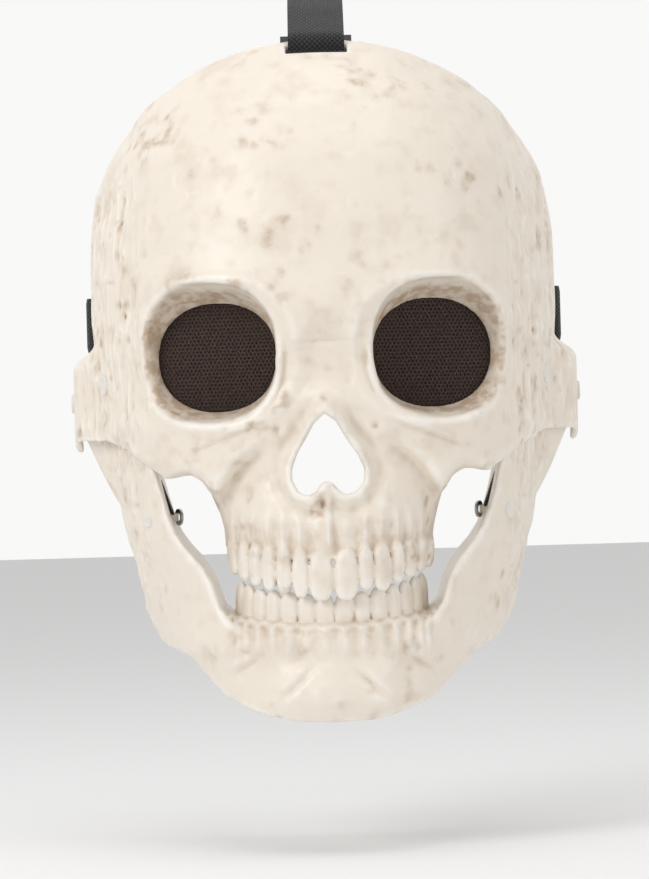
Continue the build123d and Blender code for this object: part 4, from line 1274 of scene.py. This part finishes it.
def sums(tree, operation, a, b=None, clamp=False):
    """A Math node on two values or sockets, giving its output socket."""
    node = place(tree, "ShaderNodeMath", operation=operation, use_clamp=clamp)
    for slot, value in enumerate((a, b)):
        if isinstance(value, (int, float)):
            node.inputs[slot].default_value = value
        elif value is not None:
            tree.links.new(value, node.inputs[slot])
    return node.outputs[0]


def blend_colours(tree, share, first, second):
    node = place(tree, "ShaderNodeMix", data_type="RGBA")
    for socket, value in ((node.inputs[0], share), (node.inputs[6], first), (node.inputs[7], second)):
        if isinstance(value, tuple):
            socket.default_value = (*value, 1)
        elif isinstance(value, (int, float)):
            socket.default_value = value
        else:
            tree.links.new(value, socket)
    return node.outputs[2]


def ramp(tree, value, start, end, low=0.0, high=1.0):
    """Map a value from one range to another, smoothly and held at the ends."""
    node = place(tree, "ShaderNodeMapRange", interpolation_type="SMOOTHSTEP",
                 inputs={"From Min": start, "From Max": end, "To Min": low, "To Max": high})
    tree.links.new(value, node.inputs["Value"])
    return node.outputs[0]


def new_group(name, inputs, outputs):
    tree = bpy.data.node_groups.new(name, "ShaderNodeTree")
    for label, kind in inputs:
        tree.interface.new_socket(label, in_out="INPUT", socket_type=kind)
    for label, kind in outputs:
        tree.interface.new_socket(label, in_out="OUTPUT", socket_type=kind)
    return tree, tree.nodes.new("NodeGroupInput"), tree.nodes.new("NodeGroupOutput")


def make_fine_grain():
    """Two sizes of noise: a height for bumps, and a slow mask for colour."""
    tree, start, end = new_group("fine_grain", (("Vector", "NodeSocketVector"), ("Fine", "NodeSocketFloat"),
                                                ("Broad", "NodeSocketFloat")),
                                 (("Height", "NodeSocketFloat"), ("Mask", "NodeSocketFloat")))
    fine = place(tree, "ShaderNodeTexNoise", inputs={"Detail": 4.0, "Roughness": 0.6})
    broad = place(tree, "ShaderNodeTexNoise", inputs={"Detail": 3.0, "Roughness": 0.55})
    for node, scale in ((fine, "Fine"), (broad, "Broad")):
        tree.links.new(start.outputs["Vector"], node.inputs["Vector"])
        tree.links.new(start.outputs[scale], node.inputs["Scale"])
    tree.links.new(fine.outputs["Fac"], end.inputs["Height"])
    tree.links.new(broad.outputs["Fac"], end.inputs["Mask"])
    return tree


def make_band_weave():
    """Rows of short floats, each row half a step from the next."""
    tree, start, end = new_group("band_weave", (("Run", "NodeSocketFloat"), ("Across", "NodeSocketFloat"),
                                                ("Step", "NodeSocketFloat"), ("Row", "NodeSocketFloat")),
                                 (("Height", "NodeSocketFloat"), ("Float", "NodeSocketFloat")))
    row = sums(tree, "DIVIDE", start.outputs["Across"], start.outputs["Row"])
    along_run = sums(tree, "DIVIDE", start.outputs["Run"], start.outputs["Step"])
    odd = sums(tree, "MULTIPLY", sums(tree, "FLOOR", row), 0.5)
    phase = sums(tree, "MULTIPLY", sums(tree, "ADD", along_run, odd), 2 * math.pi)
    wave = sums(tree, "ADD", sums(tree, "MULTIPLY", sums(tree, "SINE", phase), 0.5), 0.5)
    cord = sums(tree, "ABSOLUTE", sums(tree, "SINE", sums(tree, "MULTIPLY", row, math.pi)))
    height = sums(tree, "MULTIPLY", wave, sums(tree, "POWER", cord, 0.6))
    tree.links.new(height, end.inputs["Height"])
    tree.links.new(wave, end.inputs["Float"])
    return tree


def make_rubbed_spots():
    """A few small scuffs, thickest where the broad noise is high."""
    takes = (("Vector", "NodeSocketVector"), ("Scale", "NodeSocketFloat"))
    tree, start, end = new_group("rubbed_spots", takes, (("Mask", "NodeSocketFloat"),))
    noise = place(tree, "ShaderNodeTexNoise", inputs={"Detail": 6.0, "Roughness": 0.7, "Distortion": 0.6})
    tree.links.new(start.outputs["Vector"], noise.inputs["Vector"])
    tree.links.new(start.outputs["Scale"], noise.inputs["Scale"])
    tree.links.new(ramp(tree, noise.outputs["Fac"], 0.60, 0.72), end.inputs["Mask"])
    return tree


FINE_GRAIN, BAND_WEAVE, RUBBED = make_fine_grain(), make_band_weave(), make_rubbed_spots()


def finish_named(name, **constants):
    """A material with its shader's own constants set, and its tree and shader."""
    material = bpy.data.materials.new(name)
    material.use_nodes = True
    shader = material.node_tree.nodes["Principled BSDF"]
    for key, value in constants.items():
        shader.inputs[key.replace("_", " ")].default_value = value
    return material, material.node_tree, shader


def use(tree, group, **inputs):
    """Place a group, with sockets linked and numbers set."""
    node = tree.nodes.new("ShaderNodeGroup")
    node.node_tree = group
    for key, value in inputs.items():
        if isinstance(value, (int, float)):
            node.inputs[key].default_value = value
        else:
            tree.links.new(value, node.inputs[key])
    return node


def bumped(tree, shader, height, strength, distance):
    bump = place(tree, "ShaderNodeBump", inputs={"Strength": strength, "Distance": distance})
    tree.links.new(height, bump.inputs["Height"])
    tree.links.new(bump.outputs["Normal"], shader.inputs["Normal"])


def attribute(tree, name):
    return place(tree, "ShaderNodeAttribute", attribute_name=name).outputs["Fac"]


def object_place(tree):
    return tree.nodes.new("ShaderNodeTexCoord").outputs["Object"]


print("shared groups", len(bpy.data.node_groups))


# %% [markdown]
# The bone is cream plastic with a brown wash rubbed into it. The wash lies in speckled patches and in
# the hollows, where tan and umber are also laid on as painted shade, and the high spots are painted
# paler as painted light. So the colour follows the two attributes kept on the shells, broken up by
# noise at two sizes.

# %% Bone plastic
CREAM = (0.83, 0.755, 0.655)
PALE = (0.885, 0.835, 0.76)
TAN = (0.46, 0.325, 0.21)
UMBER = (0.20, 0.125, 0.075)


def bone_finish():
    constants = {"Specular_IOR_Level": 0.5, "Coat_Roughness": 0.35}
    material, tree, shader = finish_named("bone_plastic_finish", **constants)
    spot = object_place(tree)
    coarse = use(tree, FINE_GRAIN, Vector=spot, Fine=420.0, Broad=62.0)
    small = use(tree, FINE_GRAIN, Vector=spot, Fine=1500.0, Broad=230.0)
    stain, hollow = attribute(tree, "stain"), attribute(tree, "hollow")
    # Painted shade: the deeper the hollow, the more tan and umber go in below.
    deep = ramp(tree, hollow, 0.53, 0.86)
    # Painted light: the high spots are made paler.
    high = ramp(tree, hollow, 0.47, 0.25)
    broken = ramp(tree, small.outputs["Mask"], 0.38, 0.62, 0.35, 1.0)
    wash_and_shade = sums(tree, "MULTIPLY", stain, broken)
    patch = ramp(tree, coarse.outputs["Mask"], 0.52, 0.70, 0.0, 0.16)
    # The wash is stain and patches, with painted shade in the hollows added to it.
    wash_and_shade = sums(tree, "ADD", sums(tree, "ADD", sums(tree, "MULTIPLY", wash_and_shade, 0.80), patch),
                sums(tree, "MULTIPLY", deep, 0.42), clamp=True)
    colour = blend_colours(tree, high, CREAM, PALE)
    colour = blend_colours(tree, wash_and_shade, colour, TAN)
    # Umber in stained deep hollows: partly dirt, partly painted shade.
    dirt_and_shade = ramp(tree, sums(tree, "MULTIPLY", deep, stain), 0.25, 0.9, 0.0, 0.6)
    colour = blend_colours(tree, dirt_and_shade, colour, UMBER)
    tree.links.new(colour, shader.inputs["Base Color"])
    tree.links.new(ramp(tree, sums(tree, "ADD", wash_and_shade, coarse.outputs["Mask"]), 0.3, 1.2, 0.34, 0.60),
                   shader.inputs["Roughness"])
    height = sums(tree, "MULTIPLY", coarse.outputs["Height"], 0.8)
    height = sums(tree, "ADD", height, small.outputs["Height"])
    bumped(tree, shader, height, 0.25, 0.0004)
    return material


bone = bone_finish()
for shell in (skull_shell, jaw_shell):
    shell.data.materials.clear()
    shell.data.materials.append(bone)
print("bone finish on both shells")


# %% Woven finishes
def woven_finish(name, dark, light, step, row, rough, sheen):
    """Band cloth: floats catch the light and the gaps between them stay dark."""
    constants = {"Sheen_Weight": sheen, "Sheen_Roughness": 0.5, "Specular_IOR_Level": 0.3}
    material, tree, shader = finish_named(name, **constants)
    run, across = attribute(tree, "run"), attribute(tree, "across")
    weave = use(tree, BAND_WEAVE, Run=run, Across=across, Step=step, Row=row)
    dust = use(tree, FINE_GRAIN, Vector=object_place(tree), Fine=2500.0, Broad=90.0)
    faded = ramp(tree, dust.outputs["Mask"], 0.3, 0.7, 0.6, 1.0)
    share = sums(tree, "MULTIPLY", weave.outputs["Height"], faded)
    tree.links.new(blend_colours(tree, share, dark, light), shader.inputs["Base Color"])
    shine = ramp(tree, weave.outputs["Float"], 0.0, 1.0, rough, rough - 0.2)
    tree.links.new(shine, shader.inputs["Roughness"])
    lint = sums(tree, "MULTIPLY", dust.outputs["Height"], 0.3)
    height = sums(tree, "ADD", weave.outputs["Height"], lint)
    bumped(tree, shader, height, 0.9, 0.0004)
    return material


def fuzzy_finish(name, dark, light, fine, rough, sheen, depth):
    """Felted or foamed surface: cells or fibres as bumps, with patchy colour."""
    constants = {"Sheen_Weight": sheen, "Sheen_Roughness": 0.6, "Specular_IOR_Level": 0.25}
    material, tree, shader = finish_named(name, **constants)
    spot = object_place(tree)
    fibres = use(tree, FINE_GRAIN, Vector=spot, Fine=fine, Broad=fine / 12)
    cells = place(tree, "ShaderNodeTexVoronoi", inputs={"Scale": fine * 0.6})
    tree.links.new(spot, cells.inputs["Vector"])
    share = ramp(tree, sums(tree, "ADD", fibres.outputs["Height"], cells.outputs["Distance"]), 0.5, 1.2)
    tree.links.new(blend_colours(tree, share, dark, light), shader.inputs["Base Color"])
    shine = ramp(tree, fibres.outputs["Mask"], 0.3, 0.7, rough, rough + 0.08)
    tree.links.new(shine, shader.inputs["Roughness"])
    height = sums(tree, "ADD", fibres.outputs["Height"], cells.outputs["Distance"])
    bumped(tree, shader, height, 0.8, depth)
    return material


# dark and light colour, then step, row, roughness and sheen
webbing_black = woven_finish(
    "ribbed_webbing", (0.008, 0.008, 0.009), (0.050, 0.050, 0.052), 1.5, 0.9, 0.85, 0.15)
elastic_black = woven_finish(
    "braided_elastic", (0.010, 0.010, 0.010), (0.060, 0.060, 0.060), 1.1, 0.7, 0.80, 0.1)
# dark and light colour, then fineness, roughness, sheen and depth of the bumps in metres
tape_black = fuzzy_finish(
    "hook_and_loop_nap", (0.006, 0.006, 0.007), (0.035, 0.035, 0.037), 1900.0, 0.90, 0.25, 0.0005)
knit_brown = fuzzy_finish(
    "knit_thread", (0.010, 0.006, 0.005), (0.060, 0.038, 0.030), 2600.0, 0.86, 0.1, 0.0001)
foam_grey = fuzzy_finish(
    "open_foam", (0.020, 0.020, 0.022), (0.105, 0.105, 0.110), 1100.0, 0.92, 0.1, 0.0006)
thread_black = fuzzy_finish(
    "sewing_thread", (0.012, 0.012, 0.012), (0.055, 0.055, 0.055), 3000.0, 0.60, 0.1, 0.0001)


# %% Hard finishes
def hard_finish(name, colour, worn, rough, metallic, fine, spots):
    """Moulded, painted or plated surface with a fine grain and a few rubbed spots."""
    material, tree, shader = finish_named(name, Metallic=metallic)
    spot = object_place(tree)
    rubbed = use(tree, RUBBED, Vector=spot, Scale=spots)
    grainy = use(tree, FINE_GRAIN, Vector=spot, Fine=fine, Broad=fine / 8)
    share = sums(tree, "ADD", sums(tree, "MULTIPLY", rubbed.outputs["Mask"], 0.7),
                 ramp(tree, grainy.outputs["Mask"], 0.35, 0.75, 0.0, 0.3), clamp=True)
    tree.links.new(blend_colours(tree, share, colour, worn), shader.inputs["Base Color"])
    tree.links.new(ramp(tree, share, 0.0, 1.0, rough, min(rough + 0.22, 1.0)), shader.inputs["Roughness"])
    bumped(tree, shader, grainy.outputs["Height"], 0.3, 0.0001)
    return material


paint_white = hard_finish("rivet_paint", (0.80, 0.77, 0.71), (0.52, 0.48, 0.42), 0.32, 0.0, 2200.0, 480.0)
zinc = hard_finish("zinc_plate", (0.60, 0.61, 0.62), (0.38, 0.38, 0.37), 0.30, 1.0, 3000.0, 500.0)
nylon = hard_finish("natural_nylon", (0.78, 0.76, 0.70), (0.66, 0.63, 0.56), 0.42, 0.0, 1600.0, 350.0)
acetal = hard_finish("black_acetal", (0.014, 0.014, 0.015), (0.045, 0.045, 0.047), 0.36, 0.0, 1800.0, 260.0)


def wear(things, material):
    for thing in things:
        thing.data.materials.clear()
        thing.data.materials.append(material)


wear((crown_webbing, left_webbing, right_webbing), webbing_black)
wear((crown_thread, left_thread, right_thread), thread_black)
wear(elastics, elastic_black)
wear((loop_tape, hook_tape), tape_black)
wear(knits, knit_brown)
wear(foams, foam_grey)
wear(rivets, paint_white)
CAD_FINISHES = {"pivot_rivet": paint_white, "pivot_washer": nylon, "pivot_cap": zinc,
                "upper_anchor_washer": zinc, "jaw_anchor_washer": zinc, "crown_slider": acetal}
for thing in bpy.data.objects:
    for start, material in CAD_FINISHES.items():
        if thing.name.startswith(start) and thing.name in frame["nodes"]:
            for held in thing.material_slots:
                held.material = material
print("finishes", len([m for m in bpy.data.materials if m.users]))

# %% [markdown]
# ## Camera, floor and light
# A long lens looks straight at the face from about a metre and a half, level with the nose. The light
# is one soft panel high on the left, a weaker one on the right and one overhead, in a pale world that
# is brighter behind the mask, over a plain pale floor.

# %% Camera and stage
cam_data = bpy.data.cameras.new("front_camera")
cam_data.sensor_width = 36
cam_data.lens = 177.6
cam_data.clip_start = 0.05
camera = bpy.data.objects.new("front_camera", cam_data)
bpy.context.scene.collection.objects.link(camera)
camera.location = (-0.0009, -1.605, -0.0157)
camera.rotation_euler = (math.radians(90), math.radians(1.6), 0)
bpy.context.scene.camera = camera

bpy.ops.mesh.primitive_plane_add(size=8, location=(0, 0, -0.16))
floor = bpy.context.active_object
floor.name = "floor"
pale = bpy.data.materials.new("pale_floor")
pale.use_nodes = True
pale_shader = pale.node_tree.nodes["Principled BSDF"]
pale_shader.inputs["Base Color"].default_value = (0.86, 0.86, 0.86, 1)
pale_shader.inputs["Roughness"].default_value = 0.9
floor.data.materials.append(pale)

world = bpy.data.worlds.new("soft_room")
world.use_nodes = True
air = world.node_tree
sky = air.nodes["Background"]
sky.inputs["Color"].default_value = (1.0, 0.995, 0.99, 1)
way_out = place(air, "ShaderNodeSeparateXYZ")
looking = place(air, "ShaderNodeTexCoord")
air.links.new(looking.outputs["Generated"], way_out.inputs[0])
air.links.new(ramp(air, way_out.outputs["Y"], -0.3, 0.8, 0.5, 0.95), sky.inputs["Strength"])
bpy.context.scene.world = world


def panel(name, place, size, power, target=(0, -0.05, 0)):
    """Soft square light aimed at the face."""
    light = bpy.data.lights.new(name, "AREA")
    light.size = size
    light.energy = power
    lamp = bpy.data.objects.new(name, light)
    bpy.context.scene.collection.objects.link(lamp)
    lamp.location = place
    aim = Vector(target) - Vector(place)
    lamp.rotation_euler = aim.to_track_quat("-Z", "Y").to_euler()
    return lamp


panel("key_left", (-0.95, -1.0, 0.7), 0.6, 8.0)
panel("fill_right", (1.1, -0.9, 0.2), 1.0, 3.6)
panel("top", (0.0, -0.3, 1.2), 0.8, 4.0)
bpy.context.scene.view_settings.view_transform = "Standard"
print("camera and three panels of light")
